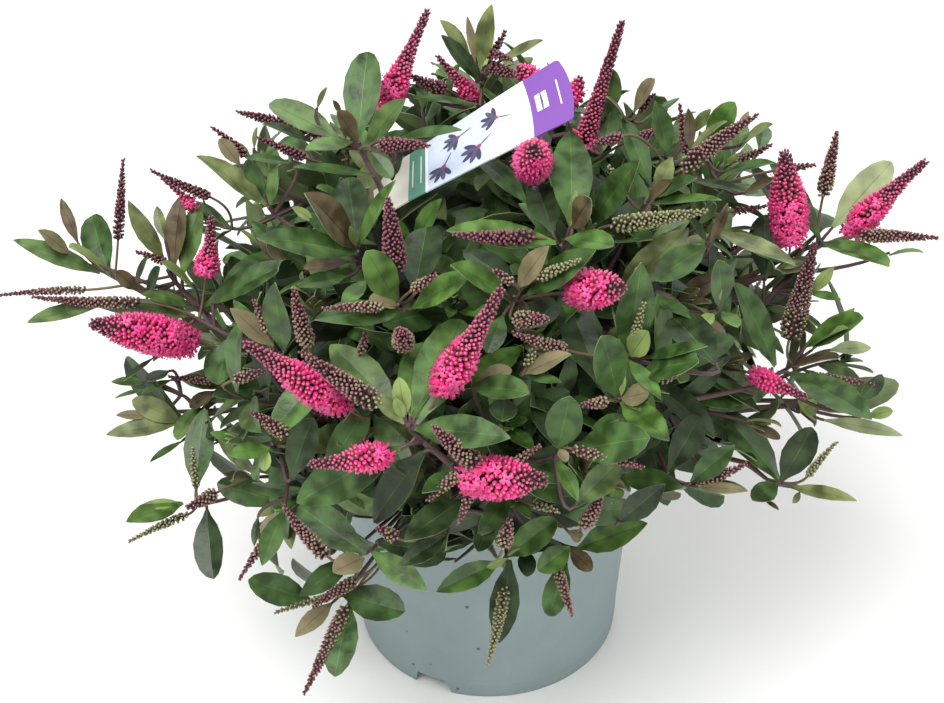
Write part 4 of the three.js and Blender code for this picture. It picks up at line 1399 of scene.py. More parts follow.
def shoots_before_the_pot() -> list[ShootSeen]:
    """The shoots that hang before the pot."""
    return [
        ShootSeen(at=(366, 554), aims=(345, 575), reach=1.03, leaves=(
            LeafSeen(tip=(299, 506), base=(366, 554), length=44, aspect=0.42, towards=False),
            LeafSeen(tip=(333, 572), base=(364, 558), length=20, tint=TAN, aspect=0.6),
            LeafSeen(tip=(446, 553), base=(378, 543), length=37, tint=OLD_AND_SHADED, aspect=0.5, towards=False),
            LeafSeen(tip=(427, 590), base=(372, 552), length=40, tint=FRESH))),
        ShootSeen(at=(342, 596), aims=(325, 615), depth=-148, leaves=(
            LeafSeen(tip=(248, 580), base=(310, 600), length=38, aspect=0.42),
            LeafSeen(tip=(300, 596), base=(350, 560), length=32, aspect=0.4),
            LeafSeen(tip=(295, 637), base=(332, 603), length=28, tint=TAN),
            LeafSeen(tip=(405, 612), base=(343, 594), length=36, aspect=0.52),
            LeafSeen(tip=(335, 677), base=(350, 604), length=40, aspect=0.42))),
        ShootSeen(at=(506, 562), aims=(500, 590), depth=-146, leaves=(
            LeafSeen(tip=(436, 592), base=(500, 562), length=38, tint=FRESH, aspect=0.35),
            LeafSeen(tip=(499, 643), base=(510, 560), length=44, tint=OLD_AND_SHADED, aspect=0.35, towards=False),
            LeafSeen(tip=(558, 519), base=(508, 556), length=36, tint=FRESH, aspect=0.44),
            LeafSeen(tip=(484, 570), base=(508, 558), length=14, tint=YOUNG, aspect=0.3),
            LeafSeen(tip=(522, 548), base=(508, 556), length=10, tint=YOUNG, aspect=0.3),
            LeafSeen(tip=(527, 577), base=(526, 550), length=16, tint=OLD_AND_SHADED, aspect=0.6))),
        ShootSeen(at=(570, 549), aims=(580, 560), depth=-144, leaves=(
            LeafSeen(tip=(538, 571), base=(570, 547), length=22, tint=FRESH, aspect=0.6),
            LeafSeen(tip=(549, 616), base=(566, 560), length=30, aspect=0.45, towards=False),
            LeafSeen(tip=(648, 523), base=(578, 548), length=42, tint=FRESH, aspect=0.38),
            LeafSeen(tip=(592, 571), base=(570, 549), length=18, tint=BRONZE, aspect=0.5),
            LeafSeen(tip=(537, 508), base=(521, 501), length=9, tint=OLIVE, aspect=0.3),
            LeafSeen(tip=(580, 520), base=(522, 504), length=34, tint=OLD_AND_SHADED, aspect=0.42, towards=False))),
        ShootSeen(at=(440, 520), aims=(440, 545), reach=1.0, leaves=(
            LeafSeen(tip=(404, 541), base=(462, 500), length=42, tint=OLD_AND_SHADED, aspect=0.4),
            LeafSeen(tip=(400, 566), base=(446, 536), length=34, tint=OLD_AND_SHADED, aspect=0.4),
            LeafSeen(tip=(478, 552), base=(490, 524), length=20, tint=OLD_AND_SHADED, aspect=0.5))),
    ]


# ----------------------------------------------------------------------------------------
# The plant
# ----------------------------------------------------------------------------------------

@dataclass(frozen=True)
class ShootHabit:
    """How leaves stand on a shoot, from its growing point down, in millimetres and degrees."""

    offsets: tuple[float, ...] = (0.0, 2.0, 6.0, 13.0, 23.0, 35.0, 49.0, 64.0, 80.0)
    lengths: tuple[float, ...] = (10.0, 19.0, 31.0, 42.0, 49.0, 52.0, 52.0, 50.0, 46.0)
    spreads: tuple[float, ...] = (8.0, 18.0, 34.0, 50.0, 64.0, 75.0, 84.0, 92.0, 96.0)
    aspect: float = 0.355
    thickness: float = 0.55
    stem_radius: float = 1.2
    sag: float = 0.035
    turn_wobble: float = 0.14
    spread_wobble: float = 7.0
    odd_tint: float = 0.22
    sage_share: float = 0.25


# Tints of the pairs of leaves on a shoot of each look, from its growing point down. The lowest pairs, deep
# in the crown, and the whole shade look take the old and deep tints, which are darkened as painted shade.
TINTS = {
    "shade": (GREEN, GREEN, OLD_AND_SHADED, OLD_AND_SHADED, OLD_AND_SHADED, DEEP_SHADE, DEEP_SHADE, DEEP_SHADE),
    "green": (FRESH, FRESH, GREEN, GREEN, GREEN, OLD_AND_SHADED, OLD_AND_SHADED, DEEP_SHADE),
    "fresh": (YOUNG, FRESH, FRESH, GREEN, GREEN, OLD_AND_SHADED, OLD_AND_SHADED, DEEP_SHADE),
    "young": (YOUNG, YOUNG, YOUNG, FRESH, GREEN, GREEN, OLD_AND_SHADED, DEEP_SHADE),
    "olive": (YOUNG, OLIVE, OLIVE, FRESH, GREEN, OLD_AND_SHADED, OLD_AND_SHADED, DEEP_SHADE),
    "bronze": (OLIVE, BRONZE, BRONZE, OLIVE, GREEN, OLD_AND_SHADED, OLD_AND_SHADED, DEEP_SHADE),
}


@dataclass(frozen=True)
class SeenLines:
    """Things that leaves set by rule mustn't hide, as lines in the front view.

    Their feet and tips are in pixels and their depths and girths in millimetres.
    """

    feet: np.ndarray
    tips: np.ndarray
    feet_depth: np.ndarray
    tips_depth: np.ndarray
    girths: np.ndarray

    @staticmethod
    def of(feet: list[np.ndarray], tips: list[np.ndarray], girths: list[float]) -> "SeenLines":
        """The lines between some places.

        Args:
            feet: Where the lines begin, in millimetres.
            tips: Where they end.
            girths: Their widths.

        Returns:
            The lines.
        """
        low, low_depth = VIEW.pixels(np.array(feet))
        high, high_depth = VIEW.pixels(np.array(tips))
        return SeenLines(low, high, low_depth, high_depth, np.array(girths))

    def hidden_by(self, points: np.ndarray, width: float) -> bool:
        """Whether a leaf stands before any of the lines in the front view.

        Args:
            points: Places along the leaf's middle.
            width: The leaf's width.

        Returns:
            True if it stands before one.
        """
        pixels, depth = VIEW.pixels(points)
        axis = self.tips - self.feet
        span = np.maximum(np.sum(axis ** 2, axis=1), 1.0)
        for pixel, near in zip(pixels, depth):
            share = np.clip(np.sum((pixel - self.feet) * axis, axis=1) / span, 0.0, 1.0)
            gap = np.linalg.norm(self.feet + share[:, None] * axis - pixel, axis=1)
            behind = self.feet_depth + share * (self.tips_depth - self.feet_depth)
            room = (self.girths * 0.42 + width * 0.4) * VIEW.focal_px / near
            if np.any((gap < room) & (near < behind)):
                return True
        return False


class Foliage:
    """Leaves, gathered as rows of numbers and then built sector by sector.

    No leaf comes within the pot's radius below its rim, nearer to the ground than the lowest height,
    or, if it is set by rule, further out of the masses than the stray, all in millimetres.
    """

    pot_radius = 95.0
    pot_rim = 149.0
    lowest = 6.0
    stray = 12.0

    def __init__(self, habit: ShootHabit, rng: np.random.Generator) -> None:
        """Start with no leaves.

        Args:
            habit: How leaves stand on a shoot.
            rng: The source of chance.
        """
        self.habit = habit
        self.rng = rng
        self.rows: list[dict] = []

    def add(self, base: np.ndarray, direction: np.ndarray, face: np.ndarray, length: float,
            tint: Leaf, sector: str, **own) -> None:
        """Add one leaf.

        Args:
            base: Where it joins its stem.
            direction: The way it grows.
            face: The way its upper side looks, roughly.
            length: Its length.
            tint: Its colour.
            sector: The sector of the crown that it belongs to.
            own: What is set and not left to chance: its width, its droop in radians, whether it is
                blunt, whether it is kept though it covers what lies behind it, the shoot that it is
                on and its offset from the growing point, and the line of its petiole.
        """
        chance = self.rng
        row = {
            "base": base, "direction": unit(direction), "face": face, "length": length,
            "width": length * self.habit.aspect * chance.uniform(0.88, 1.12),
            "droop": chance.uniform(0.15, 0.75), "fold": chance.uniform(0.1, 0.34),
            "twist": chance.normal(0.0, 0.2), "blunt": chance.random() < 0.4, "tint": tint,
            "sector": sector, "kept": False, "shoot": None, "offset": 0.0, "petiole": None,
        }
        row.update(own)
        self.rows.append(row)

    def on_shoot(self, shoot: Shoot) -> None:
        """Set pairs of leaves crosswise on a shoot.

        Args:
            shoot: The shoot.
        """
        habit, chance = self.habit, self.rng
        count = min(shoot.pairs, len(habit.offsets))
        offsets = np.array(habit.offsets[:count]) * shoot.size
        nodes, headings = along(shoot.path, offsets)
        side = perpendicular(shoot.heading, np.array([1.0, 0.2, 0.1]))
        roll = chance.uniform(0.0, math.pi)
        tints = TINTS[shoot.tint]
        last = len(tints) - 1
        for k in range(count):
            heading = headings[k]
            across = perpendicular(heading, side)
            over = np.cross(heading, across)
            turn = roll + k * math.pi / 2 + chance.normal(0.0, habit.turn_wobble)
            for half in (0.0, math.pi):
                angle = turn + half
                spread = math.radians(habit.spreads[k] + chance.normal(0.0, habit.spread_wobble))
                away = math.cos(angle) * across + math.sin(angle) * over
                direction = math.cos(spread) * heading + math.sin(spread) * away
                direction = unit(direction - habit.sag * k * UP)
                face = perpendicular(direction, heading + 0.35 * UP)
                length = habit.lengths[k] * shoot.size * chance.uniform(0.85, 1.12)
                tint = tints[min(k, last)]
                if chance.random() < habit.odd_tint:
                    tint = tints[min(max(k + chance.integers(-1, 2), 0), last)]
                if tint is GREEN and chance.random() < habit.sage_share:
                    tint = SAGE
                self.add(nodes[k] + away * habit.stem_radius, direction, face, length, tint,
                         shoot.mass.sector, shoot=shoot, offset=float(offsets[k]))

    def outline_points(self, row: dict) -> np.ndarray:
        """A few points along the middle of a leaf.

        Args:
            row: The leaf.

        Returns:
            Rows of points.
        """
        steps = np.array([0.3, 0.55, 0.8, 1.0])[:, None]
        bent = row["direction"] - row["face"] * row["droop"] * 0.5 * steps
        return row["base"] + bent * row["length"] * steps

    def prune(self, spikes: list[Spike], crown: Crown, label: "LabelPlate") -> None:
        """Take out leaves that hide a seen one, a spike or the label, leave the crown or cut the pot.

        Args:
            spikes: The spikes that the front view shows.
            crown: The crown, whose masses bound the leaves.
            label: The label.
        """
        flowers = SeenLines.of([spike.start for spike in spikes], [spike.end for spike in spikes],
                               [spike.girth for spike in spikes])
        seen = [row for row in self.rows if row["kept"]]
        low, high = ([row["base"] + row["direction"] * row["length"] * share for row in seen]
                     for share in (0.25, 0.85))
        leaves = SeenLines.of(low, high, [0.0] * len(seen))
        kept = []
        for row in self.rows:
            points = self.outline_points(row)
            radius = np.hypot(points[:, 0], points[:, 1])
            if np.any((radius < self.pot_radius) & (points[:, 2] < self.pot_rim)):
                continue
            if np.any(points[:, 2] < self.lowest):
                continue
            if label.meets(points, row["width"] / 2):
                continue
            if not row["kept"]:
                if crown.outside_by(points[-1]) > self.stray or VIEW.off_crown(points):
                    continue
                if flowers.hidden_by(points, row["width"]) or leaves.hidden_by(points, row["width"]):
                    continue
                if label.hidden_by(points, row["width"]):
                    continue
            if row["shoot"] is not None:
                row["shoot"].bare = min(row["shoot"].bare, row["offset"])
            kept.append(row)
        LOG.info("%d leaves kept of %d", len(kept), len(self.rows))
        self.rows = kept

    def build(self) -> list[tuple[str, bpy.types.Object]]:
        """Bend, place and join the leaves, one piece for each sector.

        Returns:
            Each sector with its piece.
        """
        pieces = []
        shapes = ((False, POINTED.template()), (True, BLUNT.template()))
        for sector in Crown.sectors:
            gathering = Gathering(f"leaves_{sector}", [leaf.value for leaf in LEAF_ORDER])
            for blunt, template in shapes:
                rows = [row for row in self.rows if row["sector"] == sector and row["blunt"] == blunt]
                slots = np.array([self.slots(row["tint"]) for row in rows])
                gathering.add(template, self.placed(template, rows), slots)
                LOG.info("leaves_%s: %d %s leaves", sector, len(rows), "blunt" if blunt else "pointed")
            pieces.append((sector, gathering.build()))
        return pieces

    @staticmethod
    def slots(tint: Leaf) -> list[int]:
        """Material slots of a leaf's face, rib, back, back of the rib and margins.

        Args:
            tint: The tint of its face.

        Returns:
            The slots, in the order of those of the flat leaf.
        """
        back = TAN if tint in (BRONZE, TAN) else BACK
        chosen = (tint, RIB_TINTS_AND_GROOVE_SHADE[tint], back, RIB, MARGIN, MARGIN)
        return [LEAF_ORDER.index(leaf) for leaf in chosen]

    def placed(self, template: Template, rows: list[dict]) -> np.ndarray:
        """Bend a flat leaf and set it on its stem, for many leaves at once.

        Args:
            template: The flat leaf.
            rows: The leaves.

        Returns:
            Points as (leaves, points, 3), in millimetres.
        """
        def column(name: str) -> np.ndarray:
            """One value for each leaf."""
            return np.array([row[name] for row in rows])

        def summed(slopes: np.ndarray) -> np.ndarray:
            """How far the leaf's middle has come at each joint, as a share of its length."""
            return np.concatenate([np.zeros((len(rows), 1)),
                                   np.cumsum(slopes[:, :-1], axis=1) / joints], axis=1)

        def at_points(values: np.ndarray) -> np.ndarray:
            """Values at the template's points, between those at the joints."""
            return (values[:, low] * (1 - share) + values[:, low + 1] * share)[:, nearest]

        joints = 24
        x, y, z = template.points.T
        length, width = column("length")[:, None], column("width")[:, None]
        steps = np.linspace(0.0, 1.0, joints + 1)
        bend = -column("droop")[:, None] * (0.35 * steps + 0.65 * steps ** 3)[None, :]
        slope = bend + column("droop")[:, None] * 0.35
        rows_y = np.unique(np.round(y, 5))
        nearest = np.searchsorted(rows_y, np.round(y, 5))
        place = rows_y * joints
        low = np.minimum(place.astype(int), joints - 1)
        share = place - low
        mid_y, mid_z = at_points(summed(np.cos(slope))), at_points(summed(np.sin(slope)))
        tilt = at_points(slope)
        thick = self.habit.thickness * (1.0 - 0.4 * np.abs(x) * 2)
        fold = column("fold")[:, None]
        side = x[None, :] * width * np.cos(fold)
        arch = (np.abs(x) * 2 - (np.abs(x) * 2) ** 2)[None, :] * width * 0.09
        raised = np.abs(x)[None, :] * width * np.sin(fold) + arch + z[None, :] * thick[None, :]
        roll = column("twist")[:, None] * y[None, :]
        turned_side = side * np.cos(roll) - raised * np.sin(roll)
        turned_up = side * np.sin(roll) + raised * np.cos(roll)
        local_y = mid_y * length - np.sin(tilt) * turned_up
        local_z = mid_z * length + np.cos(tilt) * turned_up
        direction = column("direction")
        face = perpendicular(direction, column("face"))
        across = np.cross(direction, face)
        base = column("base")
        return (base[:, None, :] + turned_side[..., None] * across[:, None, :]
                + local_y[..., None] * direction[:, None, :] + local_z[..., None] * face[:, None, :])


class Blossom:
    """Flower spikes: buds, florets, stamens and the stalks that bear them."""

    # The most triangles in one piece, the gap between neighbours of each kind, the longest open and
    # closed flowers, and how closely they are packed.
    most_triangles = 180_000
    gaps = {"floret": 3.5, "club": 2.8, "bud": 2.3}
    longest_open, longest_closed = 5.4, 4.0
    packing = 0.87
    # Shares of the length and widths there: of a spike in bud, of a part in flower, of the rest above it.
    closed_taper = ((0.0, 0.1, 0.3, 0.6, 0.85, 1.0), (0.8, 1.0, 0.92, 0.66, 0.36, 0.16))
    open_taper = ((0.0, 0.2, 0.5, 0.8, 1.0), (0.62, 0.88, 1.0, 0.88, 0.68))
    end_taper = ((0.0, 0.15, 0.5, 0.85, 1.0), (0.68, 0.54, 0.38, 0.27, 0.17))
    # How far buds lean out from the spike, in degrees: closed, at shares of its length, and open, at its
    # foot, at 0.7 of the part in flower, at the end of that part and at the tip.
    closed_lean = ((0.0, 0.25, 0.6, 1.0), (72.0, 60.0, 46.0, 20.0))
    open_lean = (82.0, 64.0, 54.0, 20.0)

    def __init__(self, rng: np.random.Generator) -> None:
        """Start with no flowers.

        Args:
            rng: The source of chance.
        """
        self.rng = rng
        self.copies: dict[str, list[tuple]] = {kind: [] for kind in ("bud", "club", "floret", "stamen")}
        self.stalks: list[tuple[np.ndarray, np.ndarray]] = []
        self.cores: list[tuple[np.ndarray, np.ndarray]] = []

    def spike(self, start: np.ndarray, end: np.ndarray, bloom: float, girth: float, hue: Hue,
              carrier: np.ndarray) -> None:
        """Grow one spike.

        Args:
            start: Its foot.
            end: Its tip.
            bloom: The share of it, from its foot, that is in open flower.
            girth: Its width across the flowers, or across the buds if it has no flowers.
            hue: The look of its buds.
            carrier: Where its stalk leaves the shoot.
        """
        chance = self.rng
        axis = end - start
        length = float(np.linalg.norm(axis))
        heading = axis / length
        side = perpendicular(heading, UP + 0.3 * chance.normal(size=3))
        bow = start + axis * 0.5 + side * length * chance.uniform(-0.05, 0.05)
        path = bezier(np.array([start, (start + bow) / 2 + (bow - start) * 0.16,
                                (bow + end) / 2 + (bow - end) * 0.16, end]), 16)
        back = start - heading * min(14.0, 0.4 * float(np.linalg.norm(start - carrier)) + 3.0)
        stalk = bezier(np.array([carrier, carrier + (back - carrier) * 0.5, back, start]), 8)
        self.stalks.append((stalk, np.linspace(0.8, 0.7, len(stalk))))
        shares = np.linspace(0.0, 1.0, len(path))
        tapers = np.array([self.taper(share, bloom) for share in shares])
        # In flower the core is half as wide as the spike: its axis, made thick and dark as painted shade
        # between the flowers.
        core = (0.5 if bloom else 0.3) * girth / 2 * tapers
        self.cores.append((path, np.maximum(core, 0.5)))
        self.set_buds(path, length, bloom, girth, hue)

    def taper(self, share: float, bloom: float) -> float:
        """The width of a spike at a share of its length, against its widest.

        Args:
            share: The share of its length, from its foot.
            bloom: The share of it that is in open flower.

        Returns:
            The width, up to 1.
        """
        if bloom == 0:
            return float(np.interp(share, *self.closed_taper))
        if share < bloom:
            return float(np.interp(share / bloom, *self.open_taper))
        return float(np.interp((share - bloom) / (1.0 - bloom), *self.end_taper))

    def set_buds(self, path: np.ndarray, length: float, bloom: float, girth: float, hue: Hue) -> None:
        """Set buds and flowers in a spiral up a spike.

        Args:
            path: The spike's line.
            length: Its length.
            bloom: The share of it, from its foot, that is in open flower.
            girth: Its width.
            hue: The look of its buds.
        """
        chance = self.rng
        place, k = 0.2, 0
        loose = chance.uniform(0.12, 0.3) if bloom == 0 and length > 36.0 else 0.0
        while place < length - 0.3:
            share = place / length
            radius = max(girth / 2 * self.taper(share, bloom), 0.9)
            at, heading = along(path, np.array([length - place]))
            heading = heading[0]
            across = perpendicular(heading, np.array([0.37, 0.61, 0.7]))
            over = np.cross(heading, across)
            angle = k * GOLDEN_ANGLE + chance.normal(0.0, 0.06)
            away = math.cos(angle) * across + math.sin(angle) * over
            leans = ((0.0, bloom * 0.7, bloom, 1.0), self.open_lean) if bloom else self.closed_lean
            lean = math.radians(np.interp(share, *leans))
            direction = unit(math.sin(lean) * away + math.cos(lean) * heading
                             + chance.normal(0.0, 0.07, 3))
            longest = self.longest_open if share < bloom else self.longest_closed
            least = float(np.interp(share, (0.5, 1.0), (2.6, 1.9)))
            size = min(max(radius * 0.85 / math.sin(lean), least), longest) * chance.uniform(0.9, 1.12)
            foot = at[0] + away * max(radius - size * math.sin(lean), 0.0)
            kind = self.one(foot, direction, size, share, bloom, hue)
            gap = self.gaps[kind]
            if share < loose:
                gap = 3.2
                size = max(float(np.linalg.norm(foot - at[0])), 0.5)
                self.copies["stamen"].append((at[0], away, size * 1.2, 6.0, (Petal.MAROON, Petal.MAROON)))
            elif 0 < share < bloom * 0.12:
                gap *= 1.3
            place += gap ** 2 * self.packing / (2 * math.pi * max(radius, 1.2))
            k += 1

    def one(self, foot: np.ndarray, direction: np.ndarray, size: float, share: float, bloom: float,
            hue: Hue) -> str:
        """Set one bud or flower.

        Args:
            foot: Its foot.
            direction: The way it points.
            size: Its length.
            share: Its place on the spike, from 0 at the foot to 1 at the tip.
            bloom: The share of the spike that is in open flower.
            hue: The look of the buds.

        Returns:
            Which kind of flower was set.
        """
        chance = self.rng
        if share < bloom and chance.random() < np.interp(share / bloom, (0.1, 0.75), (0.8, 0.05)):
            tints = (Petal.PINK, Petal.LIGHT if chance.random() < 0.5 else Petal.PINK, Petal.THROAT)
            self.copies["floret"].append((foot, direction, size, chance.uniform(5.8, 7.2), tints))
            if chance.random() < 0.6:
                bent = unit(direction + chance.normal(0.0, 0.2, 3))
                self.copies["stamen"].append((foot + direction * size * 0.6, bent, 3.8, 4.5,
                                              (Petal.LIGHT, Petal.THROAT)))
            return "floret"
        if share < bloom:
            pink = chance.random() > (share / bloom) ** 2 * 0.6
            # The second tint is the club's paler tip, with a painted highlight.
            tints = (Petal.PINK, Petal.LIGHT) if pink else (Petal.ROSY, Petal.ROSE_TIP)
            self.copies["club"].append((foot, direction, size, 2.4, (*tints, Petal.THROAT)))
            return "club"
        rest = (share - bloom) / (1.0 - bloom)
        body, dark, tip = hue.value
        if hue is Hue.ROSY:
            body, tip = (Petal.ROSY, Petal.ROSE_TIP) if chance.random() > rest * 1.6 else (body, tip)
        elif hue is Hue.PLUM and chance.random() > 0.4 + rest * 1.1:
            body, tip = Petal.KHAKI, Petal.CREAM
        elif chance.random() < 0.4:
            body = dark
        if hue is not Hue.GREEN and rest > 0.6 and chance.random() < 0.65:
            body, tip = Petal.MAROON, hue.value[2] if hue is Hue.ROSY else Petal.DARK_TIP
        self.copies["bud"].append((foot, direction, size, 1.95 * (1.0 - 0.25 * rest), (body, tip)))
        return "bud"

    def build(self) -> list[bpy.types.Object]:
        """Join the flowers, kind by kind.

        Returns:
            The pieces.
        """
        templates = {"bud": bud_template(), "club": tongue_template(), "floret": floret_template(),
                     "stamen": stamen_template()}
        pieces = []
        for kind, rows in self.copies.items():
            template = templates[kind]
            limit = self.most_triangles // int(np.sum(template.totals - 2))
            for part, first in enumerate(range(0, len(rows), limit)):
                chosen = rows[first:first + limit]
                gathering = Gathering(f"{kind}s_{part + 1}", [petal.value for petal in PETAL_ORDER])
                gathering.add(template, self.placed(template, chosen),
                              np.array([[PETAL_ORDER.index(tint) for tint in row[4]] for row in chosen]))
                pieces.append(gathering.build())
            LOG.info("%s: %d", kind, len(rows))
        return pieces

    @staticmethod
    def placed(template: Template, rows: list[tuple]) -> np.ndarray:
        """Scale, turn and place copies of a template.

        Args:
            template: The shape.
            rows: For each copy its foot, direction, length, width and tints.

        Returns:
            Points as (copies, points, 3), in millimetres.
        """
        foot = np.array([row[0] for row in rows])
        direction = unit(np.array([row[1] for row in rows]))
        length = np.array([row[2] for row in rows])[:, None, None]
        width = np.array([row[3] for row in rows])[:, None, None]
        across = perpendicular(direction, np.array([0.31, 0.52, 0.79]) + 0 * direction)
        over = np.cross(direction, across)
        x, y, z = (template.points[None, :, k, None] for k in range(3))
        return (foot[:, None, :] + x * width * across[:, None, :] + y * width * over[:, None, :]
                + z * length * direction[:, None, :])


@dataclass(frozen=True)
class Wood:
    """Stem, boughs and twigs, in millimetres."""

    knuckle: tuple[float, float, float] = (0.0, 0.0, 168.0)
    collar: tuple[float, float, float] = (0.0, 0.0, 149.0)
    foot: float = 127.0
    stem_heights: tuple[float, ...] = (127.0, 133.0, 149.0, 160.0, 170.0, 180.0)
    stem_radii: tuple[float, ...] = (15.0, 12.0, 11.0, 14.5, 15.5, 6.0)
    ridge_size: float = 3.5
    ridge_height: float = 1.0
    bark: Finish = Finish("hebe_bark_brown", "5c4438", roughness=(0.7, 0.9), patch_mm=9.0, grain_mm=1.6,
                          relief_mm=0.5)
    young: Finish = Finish("hebe_bark_young_purple", "574041", roughness=(0.5, 0.7), patch_mm=6.0,
                           grain_mm=1.2, relief_mm=0.15)
    stalk: Finish = Finish("hebe_stalk_olive_brown", "6b5a44", roughness=(0.55, 0.7), patch_mm=4.0,
                           grain_mm=1.0, relief_mm=0.08)
    # The spike's core: its axis, dark plum, and in flower thickened as painted shade between the flowers.
    core: Finish = Finish("hebe_spike_core_plum_and_shade", "43202c", roughness=(0.6, 0.75), patch_mm=4.0,
                          grain_mm=1.0, relief_mm=0.08)


class Plant:
    """The shrub: it grows from its stem by boughs and twigs to shoots, leaves and flowers.

    Lengths are in millimetres.
    """

    # How many pixels inside the crown's outline the ends of boughs and the unseen spikes stay.
    outline_room = 12.0
    # A mass whose middle lies lower than this is fed from the collar.
    low_mass = 172.0
    # How far from the crown's centre rays start, and the least distance of a growing point from it.
    beyond_crown, least_reach = 400.0, 90.0
    # No growing point set by rule lies below this height within this radius, where the pot is.
    pot_height, pot_radius = 152.0, 108.0
    # How far out of the masses an unseen spike may end.
    stray = 22.0
    # Sines of the highest and the lowest direction in which shoots are tried.
    highest, lowest = 0.999, -0.62
    share_in_flower = 0.62
    # How far behind and inside its foot a seen spike's shoot grows, and from how far one is borrowed.
    carrier_back, carrier_in, borrow_within = 12.0, 9.0, 25.0
    # A seen leaf whose base is further than this from its shoot's line has a stalk of its own.
    on_its_twig = 2.5

    def __init__(self, crown: Crown, label: "LabelPlate", seed: int = 11) -> None:
        """Set up an empty plant.

        Args:
            crown: The crown to fill.
            label: The label that stands in it.
            seed: The seed of chance.
        """
        self.crown = crown
        self.label = label
        self.rng = np.random.default_rng(seed)
        self.wood = Wood()
        self.foliage = Foliage(ShootHabit(), self.rng)
        self.blossom = Blossom(self.rng)
        self.shoots: list[Shoot] = []
        self.spikes: list[Spike] = []

    def bough_path(self, mass: Mass) -> np.ndarray:
        """The line of the bough that feeds a mass.

        Args:
            mass: The mass.

        Returns:
            Rows of points along the bough, from the stem out.
        """
        low = "_low_" in mass.node or mass.middle[2] < self.low_mass
        fork = np.array(self.wood.collar if low else self.wood.knuckle)
        end = mass.middle
        middle = (fork + end) / 2 - np.array([0.0, 0.0, 5.0])
        path = bezier(np.array([fork, (fork + 2 * middle) / 3, (end + 2 * middle) / 3, end]), 14)
        while len(path) > 8 and VIEW.off_crown(path[-1:], self.outline_room):
            path = path[:-1]
        return path

    def grow_path(self, point: np.ndarray, heading: np.ndarray, mass: Mass) -> np.ndarray:
        """The line of a twig from its mass's bough to a growing point.

        Args:
            point: The growing point.
            heading: The way the twig grows there.
            mass: The mass.

        Returns:
            Rows of points along the twig.
        """
        bough = self.bough_path(mass)
        reach = float(np.linalg.norm(point - mass.middle))
        spring = bough[-1] if reach > 60.0 else bough[-2 - int(self.rng.integers(0, 4))]
        span = float(np.linalg.norm(point - spring))
        lead = unit(unit(bough[-1] - bough[-3]) + 1.5 * unit(point - spring))
        return bezier(np.array([spring, spring + lead * span * 0.3,
                                point - heading * span * 0.38, point]), 18)

    def add_shoot(self, point: np.ndarray, heading: np.ndarray, springs: np.ndarray | None = None,
                  **look) -> Shoot:
        """Add a shoot and the twig that bears it.

        Args:
            point: Its growing point.
            heading: The way it grows there.
            springs: Where its bare twig comes out of the crown, if that shows.
            look: Its pairs of leaves, size and tint.

        Returns:
            The shoot.
        """
        mass = self.crown.nearest(point if springs is None else springs)
        shoot = Shoot(point, unit(heading), mass, **look)
        if springs is None:
            shoot.path = self.grow_path(shoot.point, shoot.heading, mass)
        else:
            inner = self.grow_path(springs, unit(point - springs), mass)
            shoot.path = np.concatenate([inner, bezier(np.array([
                springs, springs + (point - springs) * 0.4,
                point - shoot.heading * np.linalg.norm(point - springs) * 0.3, point]), 9)[1:]])
        self.shoots.append(shoot)
        return shoot

    def twig_runs(self) -> list[tuple[np.ndarray, np.ndarray]]:
        """Lines and radii of the twigs, each as far as the outermost thing on it, and of petioles."""
        runs = []
        for shoot in self.shoots:
            if shoot.bare == math.inf:
                continue
            whole = float(np.sum(np.linalg.norm(np.diff(shoot.path, axis=0), axis=1)))
            count = len(shoot.path) * 2 // 3
            points = along(shoot.path, np.linspace(whole, max(shoot.bare - 1.0, 0.0), count))[0]
            thick, fine = (2.5, 1.3) if len(shoot.path) > 18 else (1.7, 0.75)
            runs.append((points, np.linspace(thick, fine, count) * (0.7 + 0.3 * shoot.size)))
        for row in self.foliage.rows:
            if row["petiole"] is not None:
                runs.append((row["petiole"], np.linspace(1.1, 0.75, len(row["petiole"]))))
        return runs

    def heading_at(self, point: np.ndarray, wobble: float = 0.22) -> np.ndarray:
        """The way a shoot grows at a place on the crown: outwards and up to the light."""
        outward = DOME.outward(point)
        return unit(outward + 0.35 * UP + self.rng.normal(0.0, wobble, 3))

    def add_seen_shoots(self) -> None:
        """Add the shoots that stand out in the front view, with their own leaves."""
        for seen in seen_shoots():
            if seen.depth is None:
                point = VIEW.on_dome(seen.at, seen.reach)
            else:
                point = VIEW.at_depth(seen.at, seen.depth)
            aim = VIEW.at_length(seen.aims, point, 34.0, towards=True)
            springs = None
            if seen.springs is not None:
                springs = VIEW.at_depth(seen.springs, float(point[1]) - 4.0)
            shoot = self.add_shoot(point, aim - point, springs=springs)
            shoot.bare = 0.0
            for leaf in seen.leaves:
                self.add_seen_leaf(leaf, shoot)

    def add_seen_leaf(self, leaf: LeafSeen, shoot: Shoot) -> None:
        """Add a leaf that stands out in the front view, on a twig of its own if it is off its shoot's.

        Args:
            leaf: The leaf.
            shoot: The shoot that bears it.
        """
        distance = float(np.dot(shoot.point - VIEW.place, VIEW.ray(leaf.base)))
        base = VIEW.place + VIEW.ray(leaf.base) * distance
        direction = VIEW.at_length(leaf.tip, base, leaf.length, leaf.towards) - base
        face = 0.7 * UP + 0.4 * DOME.outward(base) - 0.6 * VIEW.forward
        long = float(np.linalg.norm(direction))
        gaps = np.linalg.norm(shoot.path - base, axis=1)
        petiole = None
        if gaps.min() > self.on_its_twig:
            joint = shoot.path[max(int(np.argmin(gaps)) - 2, 0)]
            middle = base - unit(direction) * gaps.min() * 0.4
            petiole = bezier(np.array([joint, (joint + middle) / 2, middle, base]), 7)
        self.foliage.add(base, direction, face, long, leaf.tint, shoot.mass.sector, petiole=petiole,
                         width=long * leaf.aspect, droop=0.25, blunt=leaf.aspect > 0.4, kept=True)

